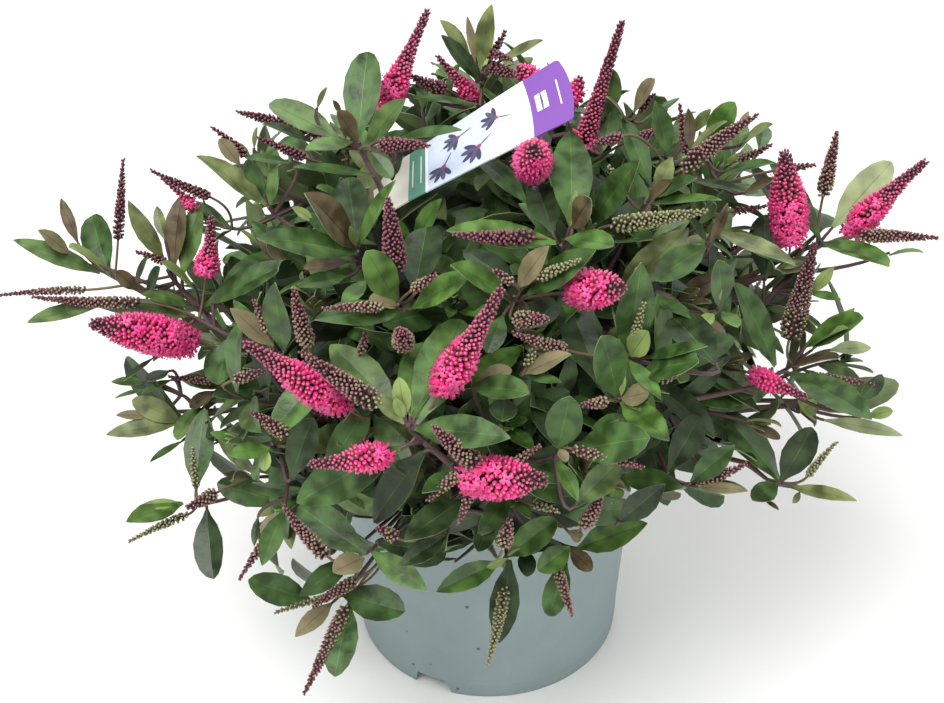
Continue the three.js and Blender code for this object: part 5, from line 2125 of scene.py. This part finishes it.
    def add_seen_spikes(self) -> None:
        """Add the spikes of the front view, each with a shoot at the foot of its stalk."""
        for spike in open_spikes() + closed_spikes():
            spike.settle()
            self.spikes.append(spike)
            heading = unit(spike.end - spike.start)
            outward = DOME.outward(spike.start)
            carrier = spike.start - heading * self.carrier_back - outward * self.carrier_in
            near = [s for s in self.shoots if np.linalg.norm(s.point - carrier) < self.borrow_within]
            if near:
                shoot = min(near, key=lambda s: np.linalg.norm(s.point - carrier))
            else:
                tint = ("green", "fresh", "olive", "bronze")[int(self.rng.integers(0, 4))]
                pairs, size = (8, 0.95) if spike.depth is None else (4, 0.7)
                shoot = self.add_shoot(carrier + outward * 4.0, self.heading_at(carrier), tint=tint,
                                       pairs=pairs, size=size)
                self.foliage.on_shoot(shoot)
            back = 4.0 + 6.0 * self.rng.random()
            shoot.bare = min(shoot.bare, back)
            joint = along(shoot.path, np.array([back]))[0][0]
            self.blossom.spike(spike.start, spike.end, spike.bloom, spike.girth, spike.hue, joint)

    def fill(self, count: int, spacing: float, depth: float, pairs: int, flowers: bool) -> None:
        """Fill the crown's face with shoots, evenly apart.

        Args:
            count: How many directions to try.
            spacing: The least distance between growing points.
            depth: How far inside the masses' surface a growing point lies.
            pairs: Pairs of leaves on each shoot.
            flowers: True if shoots out of the front view may bear spikes; if False, the shoots all take the
                shade look, which is painted shade.
        """
        centre = DOME.centre
        turns = np.arange(count) * GOLDEN_ANGLE + self.rng.normal(0.0, 0.03, count)
        heights = np.linspace(self.highest, self.lowest, count)
        for turn, height in zip(turns, heights):
            flat = math.sqrt(1.0 - height ** 2)
            ray = np.array([flat * math.cos(turn), flat * math.sin(turn), height])
            hit = self.crown.cast(centre + ray * self.beyond_crown, -ray)
            if hit is None or np.linalg.norm(hit - centre) < self.least_reach:
                continue
            point = hit - ray * (depth + self.rng.uniform(0.0, 8.0))
            if point[2] < self.pot_height and np.hypot(point[0], point[1]) < self.pot_radius:
                continue
            if any(np.linalg.norm(s.point - point) < spacing for s in self.shoots):
                continue
            tint = self.rng.choice(["green", "fresh", "young", "olive", "bronze"],
                                   p=[0.38, 0.2, 0.1, 0.15, 0.17])
            # Shoots without flowers form an inner layer in the darkest tints: painted shade deep in the
            # crown.
            if not flowers:
                tint = "shade"
            shoot = self.add_shoot(point, self.heading_at(point), pairs=pairs, tint=str(tint),
                                   size=self.rng.uniform(0.85, 1.08))
            self.foliage.on_shoot(shoot)
            if flowers and self.rng.random() < self.share_in_flower:
                self.flower_on(shoot)

    def flower_on(self, shoot: Shoot) -> None:
        """Set a pair of spikes, or one, on a shoot that the front view doesn't show.

        Args:
            shoot: The shoot.
        """
        chance = self.rng
        back = 9.0
        joint, heading = along(shoot.path, np.array([back]))
        side = perpendicular(heading[0], chance.normal(size=3))
        for sign in ((1.0, -1.0) if chance.random() < 0.4 else (1.0,)):
            lean = unit(heading[0] + sign * side * chance.uniform(0.5, 0.95) + 0.1 * UP)
            start = joint[0] + lean * chance.uniform(16.0, 22.0)
            blooming = chance.random() < 0.3
            length = chance.uniform(42.0, 60.0) if blooming else chance.uniform(24.0, 52.0)
            hue = Hue.ROSY if blooming else (Hue.PLUM, Hue.DARK, Hue.GREEN)[int(chance.integers(0, 3))]
            girth = chance.uniform(17.0, 21.0) if blooming else chance.uniform(6.5, 9.0)
            end = start + unit(lean + 0.25 * UP) * length
            if self.crown.outside_by(end) > self.stray:
                end = start + lean * (length * 0.6)
            if self.crown.outside_by(end) > self.stray:
                continue
            aside = np.array([25.0, 0.0, 0.0])
            spots = [start, end, start + aside, start - aside, end + aside, end - aside, end + 28.0 * UP]
            off = VIEW.off_crown(np.array(spots), self.outline_room)
            if self.crown.screens(spots, margin=60.0) and not off:
                shoot.bare = min(shoot.bare, back)
                self.blossom.spike(start, end, 0.6 if blooming else 0.0, girth, hue, joint[0])

    def build(self) -> None:
        """Grow the plant and set its pieces in the frame."""
        self.add_seen_shoots()
        self.add_seen_spikes()
        LOG.info("%d shoots seen from the front", len(self.shoots))
        self.fill(count=900, spacing=31.0, depth=14.0, pairs=7, flowers=True)
        LOG.info("%d shoots with the outer fill", len(self.shoots))
        # An inner layer of shoots in the darkest tints paints the shade deep in the crown.
        self.fill(count=300, spacing=32.0, depth=50.0, pairs=6, flowers=False)
        LOG.info("%d shoots in all", len(self.shoots))
        self.foliage.prune(self.spikes, self.crown, self.label)
        for sector, piece in self.foliage.build():
            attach(piece, "root")
            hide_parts(*(mass.node for mass in self.crown.masses if mass.sector == sector))
        for piece in self.blossom.build():
            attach(piece, "root")
        stalks = sweep("flower_stalks", self.blossom.stalks, self.wood.stalk)
        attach(stalks, "root")
        cores = sweep("spike_cores_and_shade", self.blossom.cores, self.wood.core)
        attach(cores, "root")
        twigs = sweep("twigs", self.twig_runs(), self.wood.young)
        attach(twigs, "root")
        self.build_boughs()

    def build_boughs(self) -> None:
        """Build the stem and the boughs with the relief of their bark."""
        knuckle = np.array(self.wood.knuckle)
        foot = np.array([0.0, 0.0, self.wood.foot])
        stem = np.linspace(foot, knuckle + 12.0 * UP, 16)
        runs = [(stem, np.interp(stem[:, 2], self.wood.stem_heights, self.wood.stem_radii))]
        for mass in self.crown.masses:
            path = self.bough_path(mass)
            far = float(np.linalg.norm(mass.middle - knuckle))
            thick, fine = (np.interp(far, (90.0, 180.0), radii) for radii in ((3.8, 2.5), (2.0, 1.2)))
            runs.append((path, np.linspace(thick, fine, len(path))))
        boughs = sweep("stem_and_boughs", runs, self.wood.bark, roundness=3)
        self.relieve(boughs)
        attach(boughs, "root")
        nodes = [name for name in sorted(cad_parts) if name.startswith(("bough_", "limb_"))]
        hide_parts("stem", *nodes)

    def relieve(self, piece: bpy.types.Object) -> None:
        """Raise the bark's ridges: subdivide, then push points in and out by a clouded pattern.

        Args:
            piece: The stem and boughs.
        """
        only(piece)
        apply_modifier(piece, "Finer", "SUBSURF", levels=1, render_levels=1)
        pattern = bpy.data.textures.new("bark_ridges", "CLOUDS")
        pattern.noise_scale = self.wood.ridge_size * MM
        apply_modifier(piece, "Ridges", "DISPLACE", texture=pattern, texture_coords="LOCAL",
                       strength=self.wood.ridge_height * MM, mid_level=0.5)


# ----------------------------------------------------------------------------------------
# Label
# ----------------------------------------------------------------------------------------

@dataclass(frozen=True)
class Mark:
    """One mark printed on the label, in its own axes: half its length and width, in millimetres."""

    centre: tuple[float, float]
    angle: float
    length: float
    width: float
    finish: Finish


@dataclass(frozen=True)
class LabelPlate:
    """The plant label: a thin printed plastic plate on a pointed stake, in millimetres."""

    width: float = 38.0
    length: float = 100.0
    thickness: float = 0.8
    stake_length: float = 56.0
    stake_width: float = 12.5
    head: tuple[float, float, float] = (33.0, -55.0, 388.0)
    shoulder: tuple[float, float, float] = (-49.0, -48.0, 331.0)
    facing: tuple[float, float, float] = (-0.57, -0.38, 0.73)
    print_gap: float = 0.12
    twist_at: tuple[float, float] = (10.0, 100.0)
    twist: tuple[float, float] = (-16.0, 0.0)
    curl: float = 0.00032
    curl_from: float = 40.0
    arc_at: tuple[float, float, float] = (68.0, 79.5, 100.0)
    arc: tuple[float, float, float] = (0.0, 1.4, 3.0)
    point: float = 30.0
    neck: float = 11.0
    corner: float = 1.2
    white: Finish = printed("printed_white", "f7f8fb")
    cream: Finish = printed("bare_cream", "dcdbce", roughness=(0.4, 0.5))
    sky: Finish = printed("printed_pale_blue", "cfdbf3")
    violet: Finish = printed("printed_violet", "8456ad")
    green: Finish = printed("printed_green", "5c9680")
    ink: Finish = printed("printed_sprig", "46485c")
    rose: Finish = printed("printed_rose", "b8477c")
    slate: Finish = printed("printed_slate_violet", "5a5876")

    def axes(self) -> tuple[np.ndarray, np.ndarray, np.ndarray]:
        """The label's own axes: along it, across it and out of its face."""
        run = unit(np.array(self.head) - np.array(self.shoulder))
        across = unit(np.cross(np.array(self.facing), run))
        return run, across, np.cross(run, across)

    def local(self, points: np.ndarray) -> np.ndarray:
        """Turn places to the label's own axes."""
        return (points - np.array(self.shoulder)) @ np.stack(self.axes(), axis=1)

    def meets(self, points: np.ndarray, room: float) -> bool:
        """Whether a leaf's middle line comes through the plate.

        Args:
            points: Places along the leaf's middle.
            room: Half the leaf's width.

        Returns:
            True if it does, or comes too near.
        """
        own = self.local(points)
        inside = (own[:, 0] > -self.stake_length) & (own[:, 0] < self.length + room)
        half = np.where(own[:, 0] > -8.0, self.width / 2, self.stake_width / 2) + room * 0.6
        close = np.abs(own[:, 2]) < 7.0
        crossing = (own[:-1, 2] * own[1:, 2] < 0) & (np.abs(own[:-1, 1]) < half[:-1]) & inside[:-1]
        return bool(np.any(inside & close & (np.abs(own[:, 1]) < half)) or np.any(crossing))

    def hidden_by(self, points: np.ndarray, width: float) -> bool:
        """Whether a leaf stands before the plate in the front view.

        Args:
            points: Places along the leaf's middle.
            width: The leaf's width.

        Returns:
            True if it stands before the plate.
        """
        rays = points - VIEW.place
        facing = self.axes()[2]
        share = ((np.array(self.shoulder) - VIEW.place) @ facing) / (rays @ facing)
        own = self.local(VIEW.place + rays * share[:, None])
        over = (own[:, 0] > 6.0) & (own[:, 0] < self.length + width * 0.3)
        over &= np.abs(own[:, 1]) < self.width / 2 + width * 0.3
        return bool(np.any(over & (share > 1.0)))

    def bend(self, places: np.ndarray) -> np.ndarray:
        """Twist and curl the plate: it hangs askew from its stake and its far end dips.

        Args:
            places: Flat places in the label's own axes, in millimetres.

        Returns:
            The bent places.
        """
        x, y, z = places.T
        z = z - self.curl * (x - self.curl_from) ** 2 * np.where(x > self.curl_from, 1.0, 0.25)
        x = x + np.interp(x, self.arc_at, self.arc) * (1.0 - (2 * y / self.width) ** 2)
        angle = np.radians(np.interp(x, self.twist_at, self.twist))
        return np.stack([x, y * np.cos(angle) - z * np.sin(angle),
                         y * np.sin(angle) + z * np.cos(angle)], axis=1)

    def to_frame(self, obj: bpy.types.Object) -> None:
        """Bend a flat mesh and turn it from the label's own axes, in metres, to the frame's.

        Args:
            obj: The object that bears the mesh.
        """
        turn = np.stack(self.axes(), axis=0)
        places = np.empty(len(obj.data.vertices) * 3)
        obj.data.vertices.foreach_get("co", places)
        placed = self.bend(places.reshape(-1, 3) / MM) @ turn + np.array(self.shoulder)
        obj.data.vertices.foreach_set("co", (placed * MM).ravel())
        obj.data.update()

    def build(self) -> None:
        """Build the plate and its printing."""
        plate = self.plate()
        marks = self.sprigs()
        for piece in (plate, marks):
            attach(piece, "root")
        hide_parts("label")
        LOG.info("label")

    def plate(self) -> bpy.types.Object:
        """Model the plate: a grid whose far corners are rounded and whose near end is the stake."""
        deselect()
        stations = [-self.stake_length, -44.0, -30.0, -16.0, -11.0, -5.0, 0.0, 9.5, 19.5, 21.0, 32.0,
                    44.0, 56.0, 68.0, 79.5, 88.0, 95.0, 98.5, 100.0]
        bpy.ops.mesh.primitive_grid_add(x_subdivisions=len(stations) - 1, y_subdivisions=6, size=1.0)
        obj = bpy.context.object
        obj.name = "plant_label"
        mesh = obj.data
        count = len(stations) - 1
        for vertex in mesh.vertices:
            station = stations[round((vertex.co.x + 0.5) * count)]
            vertex.co = Vector((station, vertex.co.y * 2 * self.half_width(station), 0.0)) * MM
        finishes = (self.white, self.sky, self.violet, self.green, self.cream)
        bands = ((9.5, self.cream), (19.5, self.green), (21.0, self.white), (56.0, self.sky),
                 (79.5, self.white), (math.inf, self.violet))
        for finish in finishes:
            mesh.materials.append(finish.material())
        for face in mesh.polygons:
            finish = next(finish for end, finish in bands if face.center.x / MM < end)
            face.material_index = finishes.index(finish)
        only(obj)
        apply_modifier(obj, "Thickness", "SOLIDIFY", thickness=self.thickness * MM, offset=-1.0)
        self.to_frame(obj)
        return obj

    def half_width(self, station: float) -> float:
        """Half the plate's width at one station along it.

        Args:
            station: The distance from the shoulder; below zero on the stake.

        Returns:
            Half the width.
        """
        half, stake = self.width / 2, self.stake_width / 2
        if station < -self.point:
            return max(2.0, stake * (1 - ((-self.point - station) / self.point) ** 2))
        if station < -self.neck:
            return stake
        if station < 0.0:
            return stake + (half - stake) * math.sin((station + self.neck) / self.neck * math.pi / 2)
        corner = self.corner
        if station > self.length - corner:
            run = (station - (self.length - corner)) / corner
            return half - corner * (1 - math.sqrt(max(0.0, 1 - run * run)))
        return half

    def sprigs(self) -> bpy.types.Object:
        """Draw the printing: three sprigs of paired leaves with a small flower cone, and rules."""
        marks: list[Mark] = []
        for x, y, turn, size in ((30.0, -8.0, 1.0, 1.4), (39.0, 7.5, 0.2, 1.3), (50.0, -7.0, 0.5, 1.5),
                                 (61.5, 6.0, -0.4, 1.3)):
            for k, spread in enumerate((-1.1, -0.55, 0.0, 0.55, 1.1)):
                angle = turn + math.pi + spread
                long = (3.4 - 0.4 * abs(spread)) * size
                centre = (x + long * math.cos(angle), y + long * math.sin(angle))
                marks.append(Mark(centre, angle, long, size, self.slate if k % 2 else self.ink))
            stem = (x + 3.4 * size * math.cos(turn), y + 3.4 * size * math.sin(turn))
            marks.append(Mark(stem, turn, 3.6 * size, 0.35, self.ink))
            marks.append(Mark((x, y), turn, 1.5 * size, 1.1 * size, self.rose))
        for x, long, wide, finish in ((12.0, 15.0, 0.4, self.white), (17.0, 15.0, 0.4, self.white),
                                      (94.5, 11.0, 0.5, self.white), (85.5, 7.5, 4.2, self.white),
                                      (85.5, 6.0, 0.5, self.slate)):
            marks.append(Mark((x, 0.0), math.pi / 2, long, wide, finish))
        deselect()
        discs = [self.disc(mark) for mark in marks]
        deselect()
        for disc in discs:
            disc.select_set(True)
        bpy.context.view_layer.objects.active = discs[0]
        bpy.ops.object.join()
        printing = bpy.context.object
        printing.name = "label_printing"
        edit(printing)
        bpy.ops.mesh.select_all(action="SELECT")
        bpy.ops.mesh.normals_make_consistent(inside=False)
        bpy.ops.object.mode_set(mode="OBJECT")
        self.to_frame(printing)
        return printing

    def disc(self, mark: Mark) -> bpy.types.Object:
        """Model one mark: a thin disc, or a thin bar if it is white.

        Args:
            mark: The mark.

        Returns:
            The mark as a flat object in the label's own axes.
        """
        inks = (self.ink, self.rose, self.white, self.slate)
        square = mark.finish == self.white
        bpy.ops.mesh.primitive_circle_add(vertices=4 if square else 12, radius=1.0, fill_type="NGON")
        disc = bpy.context.object
        edit(disc)
        bpy.ops.mesh.select_all(action="SELECT")
        if square:
            bpy.ops.transform.rotate(value=math.pi / 4, orient_axis="Z", center_override=(0, 0, 0))
        bpy.ops.mesh.extrude_region_move(TRANSFORM_OT_translate={"value": (0.0, 0.0, 0.06)})
        bpy.ops.object.mode_set(mode="OBJECT")
        rise = self.print_gap * (2.0 if mark.finish == self.slate else 1.0)
        for vertex in disc.data.vertices:
            x, y = vertex.co.x * mark.length, vertex.co.y * mark.width
            station = mark.centre[0] + x * math.cos(mark.angle) - y * math.sin(mark.angle)
            side = mark.centre[1] + x * math.sin(mark.angle) + y * math.cos(mark.angle)
            vertex.co = Vector((station, side, vertex.co.z + rise)) * MM
        for finish in inks:
            disc.data.materials.append(finish.material())
        for face in disc.data.polygons:
            face.material_index = inks.index(mark.finish)
        return disc


# ----------------------------------------------------------------------------------------
# Pot and compost
# ----------------------------------------------------------------------------------------

@dataclass(frozen=True)
class ScuffedPolypropylene:
    """Grey-blue injection-moulded polypropylene: satin, with faint scuffs and dried splashes."""

    name: str = "polypropylene_moulded_grey"
    colour: str = "839395"
    scuff: str = "90a0a2"
    soil: str = "2f3b3b"
    haze_mm: float = 45.0
    speck_mm: float = 17.0
    grain_mm: float = 0.9
    relief_mm: float = 0.06

    def material(self) -> bpy.types.Material:
        """Build the finish: scuffs and specks are colour, the mould's grain is relief."""
        material = bpy.data.materials.new(self.name)
        material.use_nodes = True
        tree = material.node_tree
        shader = tree.nodes["Principled BSDF"]
        place = add_node(tree, "TexCoord")
        haze = add_noise(tree, place, self.haze_mm, detail=5.0, roughness=0.6)
        mist = add_node(tree, "MapRange", {"From Min": 0.42, "From Max": 0.68, "To Max": 0.55},
                        {"Value": haze.outputs["Fac"]})
        faded = add_node(tree, "Mix", {"data_type": "RGBA", 6: linear(self.colour), 7: linear(self.scuff)},
                         {0: mist.outputs["Result"]})
        specks = add_node(tree, "TexVoronoi", {"Scale": 1.0 / (self.speck_mm * MM), "Randomness": 1.0},
                          {"Vector": place.outputs["Object"]})
        grit = add_node(tree, "MapRange", {"From Min": 0.075, "From Max": 0.05, "To Max": 0.9},
                        {"Value": specks.outputs["Distance"]})
        dirty = add_node(tree, "Mix", {"data_type": "RGBA", 7: linear(self.soil)},
                         {0: grit.outputs["Result"], 6: faded.outputs[2]})
        tree.links.new(dirty.outputs[2], shader.inputs["Base Color"])
        add_gloss(tree, shader, haze, (0.4, 0.58))
        add_relief(tree, shader, add_noise(tree, place, self.grain_mm, detail=2.0), self.relief_mm)
        return material


@dataclass(frozen=True)
class Pot:
    """The nursery pot, in millimetres: a tapered wall on a stepped foot, with a rolled lip."""

    base: float = 80.0
    height: float = 146.0
    taper: float = 3.0
    wall: float = 1.6
    foot_step: float = 0.4
    lip: float = 91.4
    lip_height: float = 11.0
    sides: int = 144
    notch_azimuths: tuple[float, float] = (-114.5, 65.5)
    notch_width: float = 26.6
    notch_height: float = 9.5
    notch_slants: tuple[float, float] = (2.8, 5.6)
    notch_depth: float = 28.0
    notch_middle: float = 76.0
    notch_below: float = 4.0

    def outside(self, height: float) -> float:
        """The wall's outer radius at a height."""
        return self.base + height * math.tan(math.radians(self.taper))

    def profile(self) -> list[tuple[float, float]]:
        """The section of the pot from the middle of its underside round to its inside floor.

        Returns:
            Radii and heights.
        """
        lip_low = self.height - self.lip_height
        wall = self.outside
        return [
            (24.0, 0.0), (27.0, 12.0), (66.5, 12.0), (69.5, 0.0), (70.0, 0.0), (79.2, 0.0), (79.8, 0.25),
            (80.05, 0.9), (wall(10.9), 10.9), (wall(11.8) - 0.15, 11.7),
            (wall(12.4) - self.foot_step, 12.4), (wall(60.0) - self.foot_step, 60.0),
            (wall(lip_low - 1.5) - self.foot_step, lip_low - 1.5),
            (wall(lip_low) + 0.3, lip_low - 0.2), (self.lip - 1.4, lip_low),
            (self.lip - 0.3, lip_low + 0.4), (self.lip, lip_low + 1.4), (self.lip, self.height - 1.8),
            (self.lip - 0.5, self.height - 0.5), (self.lip - 1.6, self.height),
            (self.lip - 2.6, self.height - 0.3), (self.lip - 3.1, self.height - 1.4),
            (wall(lip_low) - self.wall - 0.4, lip_low - 4.0),
            (wall(15.0) - self.wall - self.foot_step, 16.0), (wall(15.0) - 4.0, 14.5),
        ]

    def build(self) -> None:
        """Model the pot and stand it in for its node."""
        deselect()
        profile = self.profile()
        first_radius, first_height = profile[0]
        bpy.ops.mesh.primitive_circle_add(vertices=self.sides, radius=first_radius * MM, fill_type="NGON",
                                          location=(0.0, 0.0, first_height * MM))
        pot = bpy.context.object
        pot.name = "nursery_pot"
        edit(pot, "EDGE")
        bpy.ops.mesh.select_all(action="SELECT")
        bpy.ops.mesh.select_mode(type="EDGE")
        for (r0, z0), (r1, z1) in zip(profile, profile[1:]):
            bpy.ops.mesh.extrude_edges_move(TRANSFORM_OT_translate={"value": (0.0, 0.0, (z1 - z0) * MM)})
            stretch(r1 / r0, r1 / r0, 1.0)
        bpy.ops.mesh.edge_face_add()
        bpy.ops.mesh.select_all(action="SELECT")
        bpy.ops.mesh.normals_make_consistent(inside=False)
        bpy.ops.object.mode_set(mode="OBJECT")
        for azimuth in self.notch_azimuths:
            self.cut_notch(pot, azimuth)
        only(pot)
        bpy.ops.object.shade_smooth_by_angle(angle=math.radians(28.0))
        pot.data.materials.clear()
        pot.data.materials.append(ScuffedPolypropylene().material())
        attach(pot, "root")
        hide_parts(*(name for name in sorted(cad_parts) if name.startswith("pot")))
        LOG.info("nursery_pot: %d faces", len(pot.data.polygons))

    def cut_notch(self, pot: bpy.types.Object, azimuth: float) -> None:
        """Cut a drainage notch with slanted sides through the foot.

        Args:
            pot: The pot.
            azimuth: Where the notch is, in degrees from +X.
        """
        deselect()
        bpy.ops.mesh.primitive_cube_add(size=1.0, location=(0.0, 0.0, 0.0))
        cutter = bpy.context.object
        edit(cutter)
        bpy.ops.mesh.select_all(action="SELECT")
        tall, (left, right) = self.notch_height + self.notch_below, self.notch_slants
        stretch(self.notch_depth * MM, self.notch_width * MM, tall * MM)
        shift(self.notch_middle * MM, 0.0, (tall / 2 - self.notch_below) * MM)
        pick(cutter, lambda co: co.z > 0.0 and co.y > 0.0)
        shift(0.0, -right * MM, 0.0)
        pick(cutter, lambda co: co.z > 0.0 and co.y < 0.0)
        shift(0.0, left * MM, 0.0)
        bpy.ops.mesh.select_all(action="SELECT")
        bpy.ops.mesh.bevel(offset=0.8 * MM, segments=2, affect="EDGES")
        bpy.ops.object.mode_set(mode="OBJECT")
        cutter.rotation_euler = (0.0, 0.0, math.radians(azimuth))
        only(cutter)
        bpy.ops.object.transform_apply(location=True, rotation=True, scale=True)
        only(pot)
        apply_modifier(pot, "Notch", "BOOLEAN", operation="DIFFERENCE", object=cutter, solver="EXACT")
        bpy.data.objects.remove(cutter)


@dataclass(frozen=True)
class Compost:
    """Moist peat and bark compost with a rough top, in millimetres."""

    top: float = 127.2
    depth: float = 112.0
    radius: float = 84.0
    narrowing: float = 0.925
    peat: Finish = Finish("compost_moist_peat", "33261d", roughness=(0.85, 1.0), patch_mm=12.0,
                          grain_mm=1.4, relief_mm=1.2)
    chip: Finish = Finish("compost_bark_chips", "5a4130", roughness=(0.8, 0.95), patch_mm=6.0,
                          grain_mm=1.2, relief_mm=0.4)
    chips: int = 420

    def build(self, rng: np.random.Generator) -> None:
        """Model the root ball's rough top and lie bark chips on it.

        Args:
            rng: The source of chance.
        """
        deselect()
        bpy.ops.mesh.primitive_cylinder_add(vertices=72, radius=self.radius * MM, depth=self.depth * MM,
                                            end_fill_type="TRIFAN", location=(0.0, 0.0, 0.0))
        ball = bpy.context.object
        ball.name = "root_ball"
        edit(ball)
        pick(ball, lambda co: co.z < 0.0)
        stretch(self.narrowing, self.narrowing, 1.0)
        bpy.ops.mesh.select_all(action="SELECT")
        shift(0.0, 0.0, (self.top - self.depth / 2) * MM)
        pick(ball, lambda co: co.z > 0.1)
        bpy.ops.mesh.subdivide(number_cuts=7)
        bpy.ops.object.mode_set(mode="OBJECT")
        for vertex in ball.data.vertices:
            x, y, z = (c / MM for c in vertex.co)
            if z > self.top - 0.5 and math.hypot(x, y) < self.radius - 1.0:
                rough = 1.1 * math.sin(0.31 * x + 1.3) * math.cos(0.27 * y) + rng.normal(0.0, 0.5)
                vertex.co.z += rough * MM
        only(ball)
        bpy.ops.object.shade_smooth_by_angle(angle=math.radians(60.0))
        ball.data.materials.append(self.peat.material())
        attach(ball, "root")
        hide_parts("compost")
        chips = self.bark(rng)
        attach(chips, "root")
        LOG.info("root_ball and %d chips", self.chips)

    def bark(self, rng: np.random.Generator) -> bpy.types.Object:
        """Lie flat chips of bark on the compost.

        Args:
            rng: The source of chance.

        Returns:
            The chips as one piece.
        """
        deselect()
        bpy.ops.mesh.primitive_cube_add(size=1.0)
        obj = bpy.context.object
        edit(obj)
        bpy.ops.mesh.select_all(action="SELECT")
        bpy.ops.mesh.bevel(offset=0.16, segments=1, affect="EDGES")
        bpy.ops.object.mode_set(mode="OBJECT")
        template = Template.take(obj)
        template.slots[:] = 0
        spots = np.sqrt(rng.random(self.chips)) * (self.radius - 6.0)
        turns = rng.random(self.chips) * 2 * math.pi
        centre = np.stack([spots * np.cos(turns), spots * np.sin(turns),
                           np.full(self.chips, self.top + 0.6)], axis=1)
        tilt = unit(UP + rng.normal(0.0, 0.25, (self.chips, 3)))
        across = perpendicular(tilt, rng.normal(size=(self.chips, 3)))
        over = np.cross(tilt, across)
        size = rng.uniform([3.0, 2.0, 0.8], [9.0, 5.0, 2.2], (self.chips, 3))
        points = centre[:, None, :] + sum(
            template.points[None, :, k, None] * size[:, None, k:k + 1] * axis[:, None, :]
            for k, axis in enumerate((across, over, tilt)))
        gathering = Gathering("bark_chips", [self.chip])
        gathering.add(template, points, np.zeros((self.chips, 1), dtype=int))
        return gathering.build()


# ----------------------------------------------------------------------------------------
# Studio
# ----------------------------------------------------------------------------------------

@dataclass(frozen=True)
class Studio:
    """A pale floor, a bright even sky and soft lamps. Lengths are in metres."""

    floor_size: float = 12.0
    floor: Finish = Finish("studio_floor_paper", "f4f4f2", roughness=(0.8, 0.9), patch_mm=60.0,
                           grain_mm=3.0, relief_mm=0.02)
    sky: float = 0.4
    lamps_aim: tuple[float, float, float] = (0.0, 0.0, 0.2)

    def build(self) -> None:
        """Set up the floor, the sky, the lamps and the camera."""
        deselect()
        bpy.ops.mesh.primitive_plane_add(size=self.floor_size, location=(0.0, 0.0, 0.0))
        floor = bpy.context.object
        floor.name = "studio_floor"
        floor.data.materials.append(self.floor.material())
        world = bpy.data.worlds.new("studio_sky")
        world.use_nodes = True
        background = world.node_tree.nodes["Background"].inputs
        background["Color"].default_value = (1.0, 1.0, 1.0, 1.0)
        background["Strength"].default_value = self.sky
        bpy.context.scene.world = world
        self.lamp("key", place=(-0.7, -1.0, 2.2), size=1.5, power=62.0)
        self.lamp("fill", place=(1.5, -1.2, 1.6), size=1.6, power=18.0)
        self.lamp("back", place=(0.4, 1.7, 1.9), size=1.6, power=22.0)
        bpy.context.scene.view_settings.view_transform = "Standard"
        VIEW.camera()

    def lamp(self, name: str, place: tuple[float, float, float], size: float, power: float) -> None:
        """Set up a square soft lamp that looks at the crown.

        Args:
            name: Its name.
            place: Where it hangs.
            size: The length of its sides.
            power: Its power in watts.
        """
        data = bpy.data.lights.new(name, "AREA")
        data.size = size
        data.energy = power
        obj = add_object(name, data)
        obj.location = place
        away = Vector(place) - Vector(self.lamps_aim)
        obj.rotation_euler = away.to_track_quat("Z", "Y").to_euler()


def main() -> None:
    """Build the shrub, its pot and the studio, in order."""
    logging.basicConfig(level=logging.INFO, format="%(message)s")
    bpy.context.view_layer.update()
    crown = Crown()
    label = LabelPlate()
    Studio().build()
    Pot().build()
    Compost().build(np.random.default_rng(5))
    label.build()
    Plant(crown, label).build()


if __name__ == "__main__":
    main()
